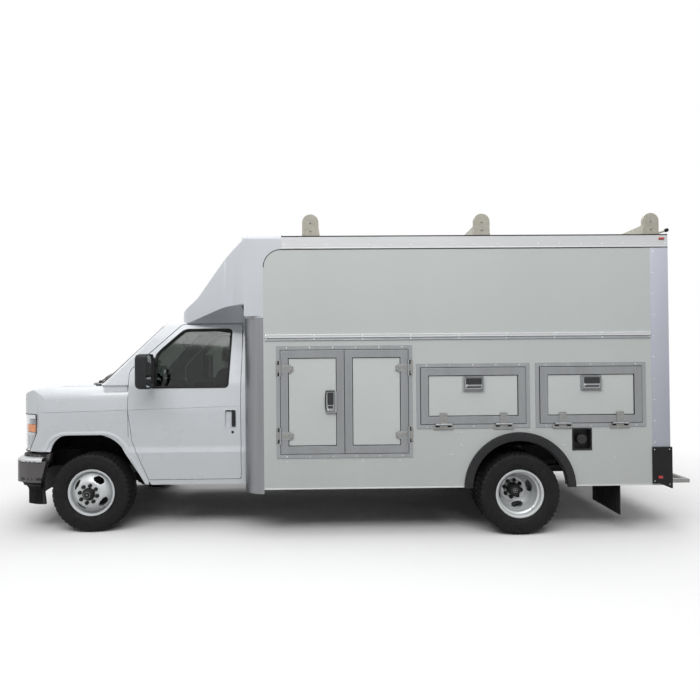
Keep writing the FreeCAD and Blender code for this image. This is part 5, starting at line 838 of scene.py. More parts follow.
# Tread: pitches round the tyre, and which rows step down between the blocks
PITCHES = 48
BLOCK_SKEW = 0.028
BLOCK_TURNS = (0.0, 0.68, 0.73, 0.95)
TREAD_ROWS = ((111.5, 318, 0), (110, 336, 0), (107.5, 346, 1), (103, 355, 3), (97.5, 363, 6),
              (92, 366.4, 8), (84, 368.2, 7), (66, 369.6, 7), (64.8, 370, 0), (63.2, 361.5, 0),
              (56.8, 361.5, 0), (55.2, 370.2, 0), (53, 370.8, 5), (24, 371.6, 5), (22.8, 371.6, 0),
              (21.2, 362.5, 0), (14.8, 362.5, 0), (13.2, 371.8, 0), (11, 371.9, 3), (0, 372, 3))
SIDEWALL = ((82.4, 203.4), (82.6, 214), (83.4, 222), (88, 224.5), (95, 229), (97.5, 234), (98, 238.5),
            (100, 240), (104, 246), (108, 258), (110.6, 272), (112, 288), (112.4, 292), (111.6, 293.5),
            (111.6, 297), (112.5, 298.5), (112.4, 304), (111.6, 305.5), (111.7, 310))
INSIDE = ((-73, 203.4), (-70, 228), (-96, 250), (-98.5, 306), (-84, 348), (0, 356), (84, 348), (98.5, 306),
          (96, 250), (70, 228), (73, 203.4))


def tyre_form(axle, centre_y):
    """A hollow tyre whose tread rows step down between the blocks."""
    form = Form()
    half = [(along, radius, 0) for along, radius in SIDEWALL] + list(TREAD_ROWS)
    outside = [(-along, radius, drop) for along, radius,
               drop in half] + [(a, r, d) for a, r, d in reversed(half[:-1])]
    inside = [(along, radius, 0) for along, radius in reversed(INSIDE)]
    edges = [2 * math.pi * (i + share) / PITCHES for i in range(PITCHES) for share in BLOCK_TURNS]
    rings = []
    for along, radius, drop in outside + inside:
        skew = BLOCK_SKEW * abs(along) / 100
        ring = []
        for i, turn in enumerate(edges):
            lowered = radius - (drop if i % len(BLOCK_TURNS) >= 2 else 0)
            angle = turn + skew
            ring.append((axle + lowered * math.cos(angle), centre_y + along,
                         AXLE_HEIGHT + lowered * math.sin(angle)))
        rings.append(ring)
    form.loops(rings + rings[:1])
    bmesh.ops.remove_doubles(form.bm, verts=form.bm.verts, dist=MERGE)
    return form


def dress_wheels():
    """Single wheels in front, pairs behind."""
    front_hub = [(60, 40), (60, 62), (-136, 62), (-141, 60), (-144, 56), (-148, 55), (-160, 50), (-164, 44),
                 (-176, 42), (-179, 36)]
    rear_hub = [(40, 40), (40, 62), (-58, 62), (-63, 60), (-66, 56), (-70, 55), (-84, 52), (-87, 48),
                (-91, 46), (-92, 42)]
    outer, inner = -REAR_MIDDLE - DISC_FACE, -REAR_MIDDLE + DISC_FACE
    for word, side in SIDES:
        wheel = f"wheel_front_{word}"
        dress_wheel(f"front_{word}", wheel, (0, -FRONT_MIDDLE), ((-FRONT_MIDDLE, -1),), front_hub,
                    -FRONT_MIDDLE - DISC_FACE - 3, 56, side, 30)
        finish(f"front_{word}_tyre", tyre_form(0, -FRONT_MIDDLE), wheel, "tyre", side,
               replaces=(f"tyre_front_{word}",))
        wheels = f"wheels_rear_{word}"
        dress_wheel(f"rear_{word}", wheels, (REAR_AXLE, -REAR_MIDDLE), ((outer, 1), (inner, -1)), rear_hub,
                    -REAR_MIDDLE - 4, 12, side, 22, ((33, -91),))
        pair = tyre_form(REAR_AXLE, outer)
        join(pair, tyre_form(REAR_AXLE, inner))
        finish(f"rear_{word}_tyres", pair, wheels, "tyre", side, replaces=(f"tyres_rear_{word}",))


dress_wheels()


# Pieces that lie on the cab's curved skin
WINDOW = [(569, 1362, 30), (1306, 1362, 40), (1320, 1925, 45), (855, 1925, 50), (595, 1685, 80)]
ARCH = [(-411, 772), (-406, 790), (-376, 850), (-330, 897), (-262, 922), (-180, 925), (0, 925), (120, 925),
        (178, 918), (230, 898), (274, 866), (306, 826), (340, 770), (400, 662), (460, 552), (519, 446)]
LAMP_CENTRE = (-470, -655)
LAMP_COLUMNS = 28
LAMP_REAR = -506
LAMP_BEND = 944

# Ridges that are rolled over: how sharp they are in degrees, then lengths in metres
RIDGE_LOW = 12
RIDGE_HIGH = 70
RIDGE_LENGTH = 0.004
RIDGE_ROLL = 0.020
SAME_PLACE = 0.00002


class Skin:
    """The surface of some CAD nodes, found by rays; places are in millimetres."""

    def __init__(self, *names):
        bpy.context.view_layer.update()
        points, faces = [], []
        for name in names:
            obj = NODES[name]
            start = len(points)
            for vert in obj.data.vertices:
                place = obj.matrix_world @ vert.co * 1000
                points.append((place.x - FRONT_AXLE, place.y, place.z))
            faces += [[start + i for i in face.vertices] for face in obj.data.polygons]
        self.tree = BVHTree.FromPolygons(points, faces)

    def along(self, start, way):
        return self.tree.ray_cast(Vector(start), Vector(way).normalized())[0]

    def side(self, x, z):
        """How far out the driver's side is, or None beside the skin."""
        place = self.along((x, -1500, z), (0, 1, 0))
        return place.y if place else None

    def around(self, centre, turn, reach=1200):
        """The first place met from outside towards a centre, at a turn in degrees from straight ahead."""
        way = Vector((-math.cos(math.radians(turn)), -math.sin(math.radians(turn)), 0))
        return self.along(Vector(centre) + way * reach, -way)


def draped(form, skin, outline, profile, probe=0.0, closed=True, cap=False):
    """A strip along an (x, z) outline on the driver's side; profile is (outwards, lift off the skin)."""
    rings = [[] for _ in profile]
    count = len(outline)
    level = None
    for i, here in enumerate(outline):
        before = outline[i - 1] if closed or i else here
        after = outline[(i + 1) % count] if closed or i < count - 1 else here
        way = (Vector(after) - Vector(before)).normalized()
        out = Vector((way.y, -way.x))
        spot = Vector(here) + out * probe
        found = skin.side(spot.x, spot.y)
        level = found if found is not None else level
        for ring, (offset, lift) in zip(rings, profile):
            place = Vector(here) + out * offset
            ring.append((place.x, level - lift, place.y))
    return form.loops(rings, closed, False, cap)


def dress_window(word, side, door):
    """The rubber round a side window, and the bar of its quarter light."""
    outline = []
    for i, corner in enumerate(WINDOW):
        ahead, back = WINDOW[(i + 1) % len(WINDOW)], WINDOW[i - 1]
        outline += rounded([corner[:2], ahead[:2], back[:2]], corner[2], 6)[:7]
    dark = Form()
    draped(dark, door, outline, [(5, -2), (5, 1.4), (3, 3), (-3, 3.2), (-9, 2), (-17, -4), (-19, -16)],
           probe=8)
    finish(f"window_rubber_{word}", dark, f"door_{word}", "rubber", side)
    bar = Form()
    draped(bar, Skin("door_glass_left"), [(606, 1364), (606, 1450), (606, 1560), (606, 1690)],
           [(11, -2), (11, 5), (8, 7), (-8, 7), (-11, 5), (-11, -2)], closed=False)
    finish(f"window_bar_{word}", bar, f"door_{word}", "rubber", side, thickness=1)


def dress_handle(word, side, door):
    """A pocket with an upright grip, and the key cylinder below it."""
    pocket = rounded([(1278, 985), (1381, 985), (1381, 1148), (1278, 1148)], 14, 5)
    rim = draped(Form(), door, pocket, [(5, -1), (5, 1.6), (3.5, 3), (0.5, 3), (-1, 1.5), (-2, -10)],
                 probe=9)
    finish(f"handle_rim_{word}", rim, f"door_{word}", "white_paint", side)
    grip = Form()
    face = door.side(1395, 1066)
    pull = rounded([(1340, 992), (1375, 992), (1375, 1141), (1340, 1141)], 12, 4)
    edge = rounded([(1284, 1134), (1350, 1134), (1350, 1143), (1284, 1143)], 3, 4)
    for outline, steps in ((pull, ((0, 14), (0, 2), (2, -4), (6, -6.5), (11, -7))),
                           (edge, ((0, 13), (1, 7), (1.5, 5)))):
        grip.solid([[(x, face + y, z) for x, z in shrunk(outline, by)] for by, y in steps])
    finish(f"handle_grip_{word}", grip, f"door_{word}", "black_plastic", side)
    key_face = door.side(1348, 938)
    key = Form().turned([(3, 13), (-1.2, 13), (-2.6, 11.5), (-2.6, 9), (-1.4, 8), (-1.4, 3)],
                        (1348, key_face, 938), "y", 24)
    key.box((1347, 1349), (key_face - 3, key_face), (933, 943), 0.4)
    finish(f"door_key_{word}", key, f"door_{word}", "gloss_black", side)


def dress_mirror(word, side):
    """A rounded housing with its glass to the rear, on two arms."""
    body = f"door_{word}"
    _, (outer, _), (low, high) = spans("mirror_left")
    inner = outer + 210
    rings = []
    for x, grow in ((514, -62), (516, -44), (521, -26), (531, -12), (546, -4), (566, 0), (626, 0),
                    (631, -2), (631, -9), (612, -12)):
        corners = [(outer - grow, low - grow), (inner + grow, low - grow), (inner + grow, high + grow),
                   (outer - grow, high + grow)]
        rings.append([(x, y, z) for y, z in rounded(corners, max(12, 46 + grow * 0.5), 6)])
    finish(f"mirror_housing_{word}", Form().solid(rings), body, "black_plastic", side,
           replaces=(f"mirror_{word}",))
    glass = Form()
    for low, high in ((1482, 1672), (1379, 1472)):
        corners = [(outer + 14, low), (inner - 14, low), (inner - 14, high), (outer + 14, high)]
        outline = rounded(corners, 22, 5)
        glass.solid([[(x, y, z) for y, z in outline] for x in (616, 621)])
    finish(f"mirror_faces_{word}", glass, body, "mirror_glass", side, bevel=1)
    arms = Form()
    for z in (1438, 1628):
        arms.tube([(562, -1080, z), (566, -1030, z), (578, -985, z - 4), (592, -946, z - 8)], 13, 16)
        arms.box((566, 622), (-958, -944), (z - 40, z + 24), 5)
    finish(f"mirror_arms_{word}", arms, body, "black_plastic", side)


def lamp_rows(lens, low, high, steps, start, end, depth):
    """Rows of places on the lens between two heights and two shares of its width, set in by a depth."""
    rows = []
    for i in range(steps + 1):
        z = low + (high - low) * i / steps
        drop = max(0.0, (LAMP_BEND - z) / 176)
        rear = LAMP_REAR - 88 * min(1.0, drop) ** 1.2 - (2 if z < LAMP_BEND else 0)
        last = 180 - math.degrees(math.atan2(314, rear - LAMP_CENTRE[0]))
        rows.append([])
        for k in range(LAMP_COLUMNS + 1):
            share = start + (end - start) * k / LAMP_COLUMNS
            turn = max(0.2, last * share)
            place = None
            while place is None:
                place = lens.around((LAMP_CENTRE[0], LAMP_CENTRE[1], z), turn, 700)
                turn -= 0.5
            way = Vector((math.cos(math.radians(turn)), math.sin(math.radians(turn)), 0))
            rows[-1].append(tuple(place + way * depth))
    return rows


def dress_headlamp(word, side, lens):
    """A clear lens over a bowl, bulb, amber lamp, ribs and trims."""
    def band(low, high, start, end, depth, steps=6):
        form = Form()
        return form.loops(lamp_rows(lens, low, high, steps, start, end, depth), close=False)

    finish(f"lamp_lens_{word}", band(772, 1121, 0.012, 0.985, 2.5, 10), "chassis", "lamp", side,
           thickness=3, replaces=("headlamps",) if word == "left" else ())
    back = band(770, 1123, 0.004, 0.995, 46, 10)
    finish(f"lamp_back_{word}", back, "chassis", "gloss_black", side, thickness=3)
    bowl = band(958, 1112, 0.03, 0.50, 34, 16)
    finish(f"lamp_bowl_{word}", bowl, "chassis", "chrome", side, thickness=2)
    finish(f"lamp_bright_{word}", band(1076, 1114, 0.52, 0.93, 14, 4), "chassis", "chrome", side,
           thickness=6)
    finish(f"lamp_amber_{word}", band(952, 1022, 0.66, 0.94, 12, 5), "chassis", "amber", side, thickness=8)
    finish(f"lamp_bar_{word}", band(916, 946, 0.05, 0.95, 10, 4), "chassis", "lens_white", side,
           thickness=9)
    finish(f"lamp_foot_{word}", band(786, 912, 0.06, 0.93, 16, 8), "chassis", "rail_metal", side,
           thickness=4)
    ribs = Form()
    for i in range(9):
        share = 0.10 + i * 0.095
        rows = lamp_rows(lens, 792, 908, 6, share, share + 0.02, 12)
        ribs.tube([row_places[0] for row_places in rows], 3, 8)
    for i in range(5):
        rows = lamp_rows(lens, 1030 + i * 9, 1031 + i * 9, 1, 0.55, 0.93, 16)
        ribs.tube(rows[0], 2, 6)
    finish(f"lamp_ribs_{word}", ribs, "chassis", "chrome", side)
    rows = lamp_rows(lens, 772, 1121, 12, 0.0, 1.0, 0.5)
    rear, front = [places[-1] for places in rows[1:-1]], [places[0] for places in rows[-2:0:-1]]
    edge = rows[0] + rear + rows[-1][::-1] + front
    finish(f"lamp_seal_{word}", Form().tube(edge, 5, 8, closed=True), "chassis", "rubber", side)
    front = lens.along((-1500, -742, 1035), (1, 0, 0)).x
    bulb = Form().turned([(0, 4), (2, 9), (10, 13), (24, 13)], (front + 16, -742, 1035), "x", 24)
    bulb.turned([(-2, 46), (1, 50), (6, 51), (16, 42), (24, 22)], (front + 12, -742, 1035), "x", 40,
                (False, True))
    finish(f"lamp_bulb_{word}", bulb, "chassis", "chrome", side)


def bumper_line(height, reach):
    """Plan of the bumper's face at a height, round the front as far as a turn to either side."""
    skin = Skin("front_bumper")
    found = [skin.around((-60, 0, height), turn, 1700) for turn in row(reach, -reach, 61)]
    return [(place.x, place.y) for place in found if place is not None]


def round_strip(line, profile):
    """A strip that follows a plan line; profile is (inwards, z)."""
    rings = []
    count = len(line)
    for i, here in enumerate(line):
        before, after = line[max(0, i - 1)], line[min(count - 1, i + 1)]
        way = (Vector(after) - Vector(before)).normalized()
        inwards = Vector((way.y, -way.x))
        rings.append([(here[0] + inwards.x * a, here[1] + inwards.y * a, z) for a, z in profile])
    return Form().solid(rings)


def dress_bumper():
    """Brow in a lighter metal as a painted highlight on the chrome's top, a dark strip under it as a
    painted shadow line, lower trim, ledge, and the fairing of the air dam.
    """
    line = bumper_line(600, 68.8)
    # The brow's lighter metal is a painted highlight where the top of the chrome bumper catches the light
    trim = round_strip(line, [(-0.4, 672), (-0.4, 681), (1, 690), (6, 699), (18, 707), (40, 713), (54, 714),
                              (54, 706),
                                      (16, 698), (8, 690), (4, 672)])
    finish("bumper_brow_highlight", trim, "chassis", "rail_metal")
    # A thin black strip under the brow: a painted shadow line
    shadow_line = round_strip(line, [(-0.2, 672), (-0.3, 663), (3, 663), (3, 672)])
    finish("bumper_shadow_line", shadow_line, "chassis", "rubber")
    low = round_strip(line, [(-0.2, 524), (-0.4, 518), (-0.2, 500), (3, 488), (12, 479), (30, 476),
                             (30, 524)])
    finish("bumper_low_trim", low, "chassis", "black_plastic")
    upper = bumper_line(722, 71.2)
    ledge = round_strip(upper, [(-0.4, 714), (-0.4, 735), (4, 739), (44, 739), (44, 714)])
    finish("bumper_ledge", ledge, "chassis", "black_plastic")
    lower = bumper_line(600, 66.5)
    fairing = round_strip(lower, [(28, 482), (34, 466), (48, 446), (70, 424), (86, 404), (91, 380),
                                  (91, 256), (98, 256),
                                          (98, 384), (94, 408), (78, 430), (58, 450), (44, 470), (40, 482)])
    finish("dam_fairing", fairing, "chassis", "liner")


def soften(node, body, material):
    """A copy of a CAD node whose blunt outer ridges are rolled over, in its place."""
    bm = bmesh.new()
    bm.from_mesh(NODES[node].data)
    bmesh.ops.transform(bm, matrix=NODES[node].matrix_world, verts=bm.verts)
    bmesh.ops.remove_doubles(bm, verts=bm.verts, dist=SAME_PLACE)
    bmesh.ops.dissolve_limit(bm, angle_limit=math.radians(0.6), verts=bm.verts, edges=bm.edges)
    ridges = [e for e in bm.edges if len(e.link_faces) == 2 and e.is_convex
              and RIDGE_LOW < math.degrees(e.calc_face_angle(0)) < RIDGE_HIGH
              and e.calc_length() > RIDGE_LENGTH]
    bmesh.ops.bevel(bm, geom=ridges, offset=RIDGE_ROLL, segments=4, profile=0.5, affect="EDGES",
                    clamp_overlap=True)
    bmesh.ops.triangulate(bm, faces=[f for f in bm.faces if len(f.verts) > 4])
    obj = make_object(f"{node}_skin", bm)
    shade(obj)
    place_piece(obj, body, material)
    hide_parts(node)


def dress_cab():
    """All that lies on the outside of the cab."""
    soften("hood", "hood", "white_paint")
    soften("fenders", "chassis", "white_paint")
    soften("cab_cap", "chassis", "fibreglass")
    door = Skin("door_left")
    fender = Skin("fenders", "cab_shell", "door_left")
    lens = Skin("headlamps")
    for word, side in SIDES:
        dress_window(word, side, door)
        dress_handle(word, side, door)
        dress_mirror(word, side)
        dress_headlamp(word, side, lens)
        profile = [(-2, -16), (-3, -2), (-2.5, 2), (1, 4.5), (8, 5), (18, 4), (30, 1), (34, -2)]
        lip = draped(Form(), fender, list(reversed(ARCH)), profile, probe=12, closed=False)
        finish(f"arch_lip_{word}", lip, "chassis", "white_paint", side, thickness=1)
    dress_bumper()


dress_cab()


# Rear end, roof, rack, flares and other fittings of the body
SCREEN_STEP = 60


def dress_rear_door(word, side):
    """Border, window seal, latch and hinge straps of one rear door."""
    body = f"rear_door_{word}"
    _, (hinge, meeting), (low, high) = spans("rear_door_left")
    leaf = (hinge + 9, meeting, low, high)
    border = [(0, -3), (0.5, 1), (3, 2.4)]
    for i in range(4):
        border += [(8 + i * 9, 2.4), (9 + i * 9, 1), (12 + i * 9, 1), (13 + i * 9, 2.4)]
    border += [(48, 2.4), (50, 1), (50.5, -2)]
    finish(f"rear_border_{word}", Form().frame(leaf, border, 0, on_rear), body, "aluminium", side)
    _, across, up = spans("rear_glass_left")
    seal = [(-22, -2), (-22, 3), (-18, 6), (-6, 6), (0, 2), (6, -12), (8, -21)]
    finish(f"rear_seal_{word}", Form().frame(across + up, seal, 40, on_rear), body, "rubber", side)
    strip = Form().box((REAR_FACE - 2, REAR_FACE + 4), (-12, -3.5), (820, 2560), 1.5)
    finish(f"rear_strip_{word}", strip, body, "rubber", side)
    plate = (-70, -14, 1140, 1350)
    dish = [(0, 0), (0, 13), (2, 16), (5, 17), (9, 17), (12, 16.2)]
    finish(f"rear_latch_{word}", Form().frame(plate, dish, 12, on_rear, cap=True), body, "black_plastic",
           side)
    paddle = Form().frame((-60, -24, 1215, 1335), [(0, 16), (0, 20), (3, 22), (12, 21)], 8, on_rear, True)
    paddle.turned([(0, 9), (3, 9), (4, 7)], (REAR_FACE + 16, -42, 1175), "x", 20)
    finish(f"rear_paddle_{word}", paddle, body, "bright_metal", side)
    straps = Form()
    for low in (916, 1615, 2314):
        straps.frame((-690, -610, low + 20, low + 130), [(0, 0), (0, 4), (1.5, 5.5)], 4, on_rear, cap=True)
        for z in (low + 45, low + 75, low + 105):
            straps.rivet((REAR_FACE + 5.5, -632, z), (1, 0, 0), 6, 3)
    finish(f"rear_straps_{word}", straps, body, "galvanised", side)
    if word == "left":
        tag = Form().frame((-545, -240, 905, 1060), [(0, 0), (0, 2), (1, 3), (6, 3), (7, 2.2)], 10, on_rear,
                           True)
        finish("blank_plate", tag, body, "panel_white", side)


def lens(form, rect, face, place, round_to=14):
    """A domed lens on a face."""
    dome = [(inwards, face + height) for inwards, height in ((0, -2), (0, 3), (1.5, 6), (5, 8.5), (12, 10))]
    return form.frame(rect, dome, round_to, place, True)


def dress_lamps(word, side):
    """Tail lamps, side markers and the markers over the rear doors."""
    red, clear, rims = Form(), Form(), Form()
    for form, low, high in ((red, 672, 770), (red, 566, 656), (clear, 478, 552)):
        lens(form, (-1216, -1118, low, high), REAR_FACE, on_back)
        rims.frame((-1222, -1112, low - 6, high + 6), [(0, -1), (0, 4), (2, 5), (6, 5), (7, -1)], 18,
                   on_rear)
    lens(red, (5284, 5326, 500, 528), WALL + 12, on_side, 8)
    lens(red, (5322, 5374, 2698, 2720), WALL + 2, on_side, 8)
    for y in (-1110, -150, 0, 150) if word == "left" else (-1110,):
        half = 30 if y == -1110 else 32
        lens(red, (y - half, y + half, 2640, 2662), REAR_WALL, on_back, 8)
    finish(f"lamp_red_{word}", red, "chassis", "red_lens", side)
    finish(f"lamp_clear_{word}", clear, "chassis", "lens_white", side)
    finish(f"lamp_rims_{word}", rims, "chassis", "black_plastic", side)
    screws = Form()
    for x, z in ((5252, 770), (5390, 770), (5252, 480), (5390, 450)):
        screws.rivet((x, -WALL - 12, z), (0, -1, 0), 5, 2)
    finish(f"lamp_screws_{word}", screws, "chassis", "bright_metal", side)


def on_arch(radius, y, degrees):
    """A place over the rear wheel, turned from ahead over the top."""
    turn = math.radians(degrees)
    return (REAR_AXLE - 3 - radius * math.cos(turn), y, 430 + radius * math.sin(turn))


def dress_flare(word, side):
    """The flare of a rear arch and its screws."""
    section = [(510, -WALL - 1), (511, -1236), (508, -1246), (502, -1251), (478, -1253), (452, -1252),
               (441, -1249), (437, -1243), (436, -1221), (428, -1216), (428, -1200), (433, -1198),
               (440, -1204), (440, -WALL - 1)]
    form = Form().solid([[on_arch(radius, y, turn) for radius, y in section] for turn in row(4, 176, 57)])
    finish(f"flare_{word}", form, "chassis", "black_plastic", side)
    screws = Form()
    for turn in range(10, 171, 20):
        screws.rivet(on_arch(494, -1252, turn), (0, -1, 0), 5, 1.8)
    finish(f"flare_screws_{word}", screws, "chassis", "gloss_black", side)


def dress_filler():
    """The fuel filler's rim, and its cap deep in the pocket."""
    profile = [(0, WALL - 1), (0, WALL + 3), (2, WALL + 5), (10, WALL + 5), (12, WALL + 3), (13, WALL - 30)]
    along, _, up = spans("fuel_filler")
    finish("filler_rim", Form().frame(along + up, profile, 30), "chassis", "black_plastic")
    mid_x, mid_z = middle(along), middle(up)
    cap = Form().turned([(-30, 45), (-58, 45), (-62, 42), (-63, 37)], (mid_x, -WALL + 62, mid_z), "y", 40)
    cap.box((mid_x - 32, mid_x + 32), (-WALL - 16, -WALL + 2), (mid_z - 8, mid_z + 8), 4)
    for turn in turns(20):
        x, z = mid_x + 45 * math.cos(turn), mid_z + 45 * math.sin(turn)
        cap.rod((x, -WALL + 30, z), (x, -WALL + 4, z), 2.4, 6)
    finish("filler_cap", cap, "chassis", "gloss_black")


def dress_flap(word, side):
    """Ribs and bolts of a mud flap."""
    form = Form()
    for y in range(-1160, -680, 60):
        form.box((4936, 4942), (y, y + 14), (190, 520), 1)
    for y in (-1150, -1000, -850, -700):
        form.turned([(0, 9), (-6, 9), (-8, 6)], (4940, y, 540), "x", 6)
    finish(f"flap_ribs_{word}", form, "chassis", "rubber", side)


def dress_rack():
    """Feet, end plates and bolts of the roof rack, and its two knobs."""
    plates, bolts = Form(), Form()
    for start in (2036, 3617, 5193):
        for sign in (-1, 1):
            for y in (1120, 700, 250):
                plates.box((start - 9, start + 159), (sign * y - 36, sign * y + 36), (ROOF - 1, ROOF + 7),
                           1.5)
                for x in (start - 2, start + 152):
                    bolts.turned([(0, 8), (6, 8), (8, 6)], (x, sign * y, ROOF + 6), "z", 6)
            plates.frame((start - 3, start + 153, ROOF, ROOF + 23), [(0, 1189), (0, 1192.5), (1, 1193.5)],
                         2, lambda a, b, h, s=sign: (a, -h * s, b), True)
            for z in (2806, 2880):
                head = [(0, 9), (6 * sign, 9), (8 * sign, 6)]
                bolts.turned(head, (start + 75, sign * 1190, z), "y", 6)
    for sign in (-1, 1):
        plates.tube([(5340, sign * 1150, 2770), (5390, sign * 1165, 2784), (5418, sign * 1176, 2793)], 9,
                    12)
    finish("rack_plates", plates, "chassis", "rack_paint")
    finish("rack_bolts", bolts, "chassis", "galvanised")
    knobs = Form()
    for sign in (-1, 1):
        knobs.turned([(-16, 12), (-12, 17), (12, 17), (16, 12)], (5420, sign * 1180, 2795), "y", 24)
    finish("rack_knobs", knobs, "chassis", "rubber")


def dress_roof():
    """Seams across the roof with their rivets."""
    seams, heads = Form(), Form()
    for x in (2520, 3150, 4240, 4880):
        seams.box((x - 20, x + 20), (-1195, 1195), (ROOF - 1, ROOF + 2), 0.8)
        for y in range(-1150, 1151, 230):
            heads.rivet((x, y, ROOF + 2), (0, 0, 1), 6, 2.5)
    seams.box((REAR_WALL - 13, REAR_WALL), (-1210, 1210), (ROOF - 12, ROOF + 4), 2)
    finish("roof_seams", seams, "chassis", "rail_metal")
    finish("roof_rivets", heads, "chassis", "bright_metal")


def dress_cap():
    """The cap's upper front edge, where it laps over the roof."""
    section = [(1468, 2688), (1478.5, 2699), (1529.5, 2749), (1543, 2760), (1556, 2766), (1560, 2758),
               (1540, 2744), (1488, 2697), (1474, 2684)]
    ends = ((-1203, -9), (-1188, 0), (1188, 0), (1203, -9))
    form = Form().solid([[(x, y, z + drop) for x, z in section] for y, drop in ends])
    finish("cap_front_edge", form, "chassis", "fibreglass")


def dress_step():
    """The rear step's rolled edge and grip teeth."""
    corners = ((5432, -1096), (5640, -1096), (5652, -1084), (5652, 1084), (5640, 1096), (5432, 1096))
    edge = Form().tube([(x, y, 447) for x, y in corners], 6, 10)
    teeth = Form()
    for x in range(5466, 5620, 26):
        teeth.box((x, x + 5), (-1058, 1058), (459, 465), 0.6)
    finish("step_edge", edge, "chassis", "galvanised")
    finish("step_teeth", teeth, "chassis", "galvanised")


def front_places(skin, places, lift):
    """Drops (y, z) places onto the screen or grille from ahead, lifted forward."""
    made = []
    for y, z in places:
        found = skin.along((-1500, y, z), (1, 0, 0))
        if found is not None:
            made.append((found.x - lift, y, z))
    return made


def dress_screen():
    """The windscreen's rubber, the wipers, the cowl's slats and the grille's trim."""
    screen, shell = Skin("windshield"), Skin("windshield", "cab_shell")
    corners = [(-848, 1406), (848, 1406), (704, 1963), (-704, 1963)]
    outline = rounded(corners, 62, 6)
    fine = []
    for i, here in enumerate(outline):
        ahead = outline[(i + 1) % len(outline)]
        steps = max(1, int((Vector(ahead) - Vector(here)).length // SCREEN_STEP))
        fine += [tuple(Vector(here).lerp(Vector(ahead), k / steps)) for k in range(steps)]
    path = front_places(shell, fine, -1)
    finish("screen_rubber", Form().tube(path, 8, 8, closed=True), "chassis", "rubber")
    arms = Form()
    for start in (-610, 30):
        blade = [(start + 28 * i, 1432 + 4.6 * i + 16 * math.sin(i / 20 * math.pi)) for i in range(21)]
        arms.tube(front_places(screen, blade, 9), 5, 8)
        arms.tube(front_places(screen, blade[2:-2], 19), 6, 8)
        arm = [(start + 10, 1400), (start + 110, 1425), (start + 210, 1448), (start + 290, 1492)]
        arms.tube(front_places(shell, arm, 24), 7, 8)
        pivot = front_places(shell, [(start + 10, 1400)], 10)
        if pivot:
            arms.turned([(-6, 17), (10, 17), (20, 12), (24, 6)], pivot[0], "z", 20)
    finish("wipers", arms, "chassis", "black_plastic")
    cowl = Form()
    for i in range(30):
        y = -780 + i * 54
        found = front_places(shell, [(y, 1398)], 6)
        if found:
            cowl.box((found[0][0] - 40, found[0][0] + 2), (y - 18, y + 18), (1382, 1386), 1)
    finish("cowl_slats", cowl, "chassis", "black_plastic")
    grille = Skin("grille")
    trim = [(y, 1117) for y in range(-648, 649, 36)] + [(y, 799) for y in range(648, -649, -36)]
    finish("grille_trim", Form().tube(front_places(grille, trim, 2), 8, 10, closed=True), "chassis",
           "rail_metal")


def dress_body_ends():
    """The rear end, the roof and the front of the van."""
    for word, side in SIDES:
        dress_rear_door(word, side)
        dress_lamps(word, side)
        dress_flare(word, side)
        dress_flap(word, side)
    dress_filler()
    dress_rack()
    dress_roof()
    dress_cap()
    dress_step()
    dress_screen()


dress_body_ends()


# Cab inside: padded seats, dash, steering wheel, belts, and trim that shows through the glass
SEAT_MIDDLE = 580
VOXEL = 0.012
PRESSURE = 4
STIFFNESS = 15
SIM_FRAMES = 20
SWELL_CAP = 0.014
CHANNEL_DEPTH = 0.007
CHANNEL_WIDTH = 0.009
SQUARENESS = 0.55
UPRIGHT = (1, 0)
LEANING = (0.985, -0.17)
SEWN = (-0.13, 0.13)

# Each pad's lean, sides, sewn lines, fill, and rings of (x, z, half width, half depth)
SEAT_PADS = {
    "seat_base": (UPRIGHT, 56, SEWN, 0.7,
                  ((865, 968, 215, 205), (865, 985, 228, 220), (868, 1030, 232, 226),
                                           (868, 1060, 226, 220), (870, 1076, 205, 198),
                                           (872, 1080, 150, 145))),
    "seat_back": (LEANING, 56, SEWN, 0.7,
                  ((1106, 985, 170, 38), (1109, 1005, 205, 50), (1124, 1090, 226, 58),
                                           (1152, 1250, 228, 58), (1178, 1400, 214, 55),
                                           (1198, 1510, 190, 48), (1203, 1538, 160, 36),
                                           (1205, 1548, 110, 20))),
    "head_rest": (LEANING, 40, (), 0.8,
                  ((1212, 1600, 100, 26), (1214, 1612, 124, 40), (1222, 1680, 132, 46),
                                         (1230, 1750, 122, 42), (1232, 1768, 100, 32),
                                         (1233, 1776, 70, 18)))}


def cushion_form(rows, lean, sides):
    """A closed pad through rounded rings."""
    rings = []
    for x, z, wide, thick in rows:
        ring = []
        for turn in turns(sides):
            c, s = math.cos(turn), math.sin(turn)
            across = wide * math.copysign(abs(c) ** SQUARENESS, c)
            deep = thick * math.copysign(abs(s) ** SQUARENESS, s)
            ring.append((x + deep * lean[0], across, z + deep * lean[1]))
        rings.append(ring)
    return Form().solid(rings)


def inflate(obj):
    """Swells a pad with cloth pressure, with a cap on how far a point may move."""
    for other in bpy.context.selected_objects:
        other.select_set(False)
    bpy.context.view_layer.objects.active = obj
    obj.select_set(True)
    remesh = obj.modifiers.new("voxels", "REMESH")
    remesh.mode = "VOXEL"
    remesh.voxel_size = VOXEL
    apply_all(obj)
    start = [vert.co.copy() for vert in obj.data.vertices]
    cloth = obj.modifiers.new("cloth", "CLOTH")
    cloth.settings.use_pressure = True
    cloth.settings.uniform_pressure_force = PRESSURE
    cloth.settings.quality = 5
    cloth.settings.tension_stiffness = cloth.settings.compression_stiffness = STIFFNESS
    cloth.settings.effector_weights.gravity = 0
    cloth.point_cache.frame_start = 1
    cloth.point_cache.frame_end = SIM_FRAMES
    for step in range(1, SIM_FRAMES + 1):
        bpy.context.scene.frame_set(step)
    apply_all(obj)
    bpy.context.scene.frame_set(1)
    for vert, before in zip(obj.data.vertices, start):
        move = vert.co - before
        if move.length > SWELL_CAP:
            vert.co = before + move * (SWELL_CAP / move.length)


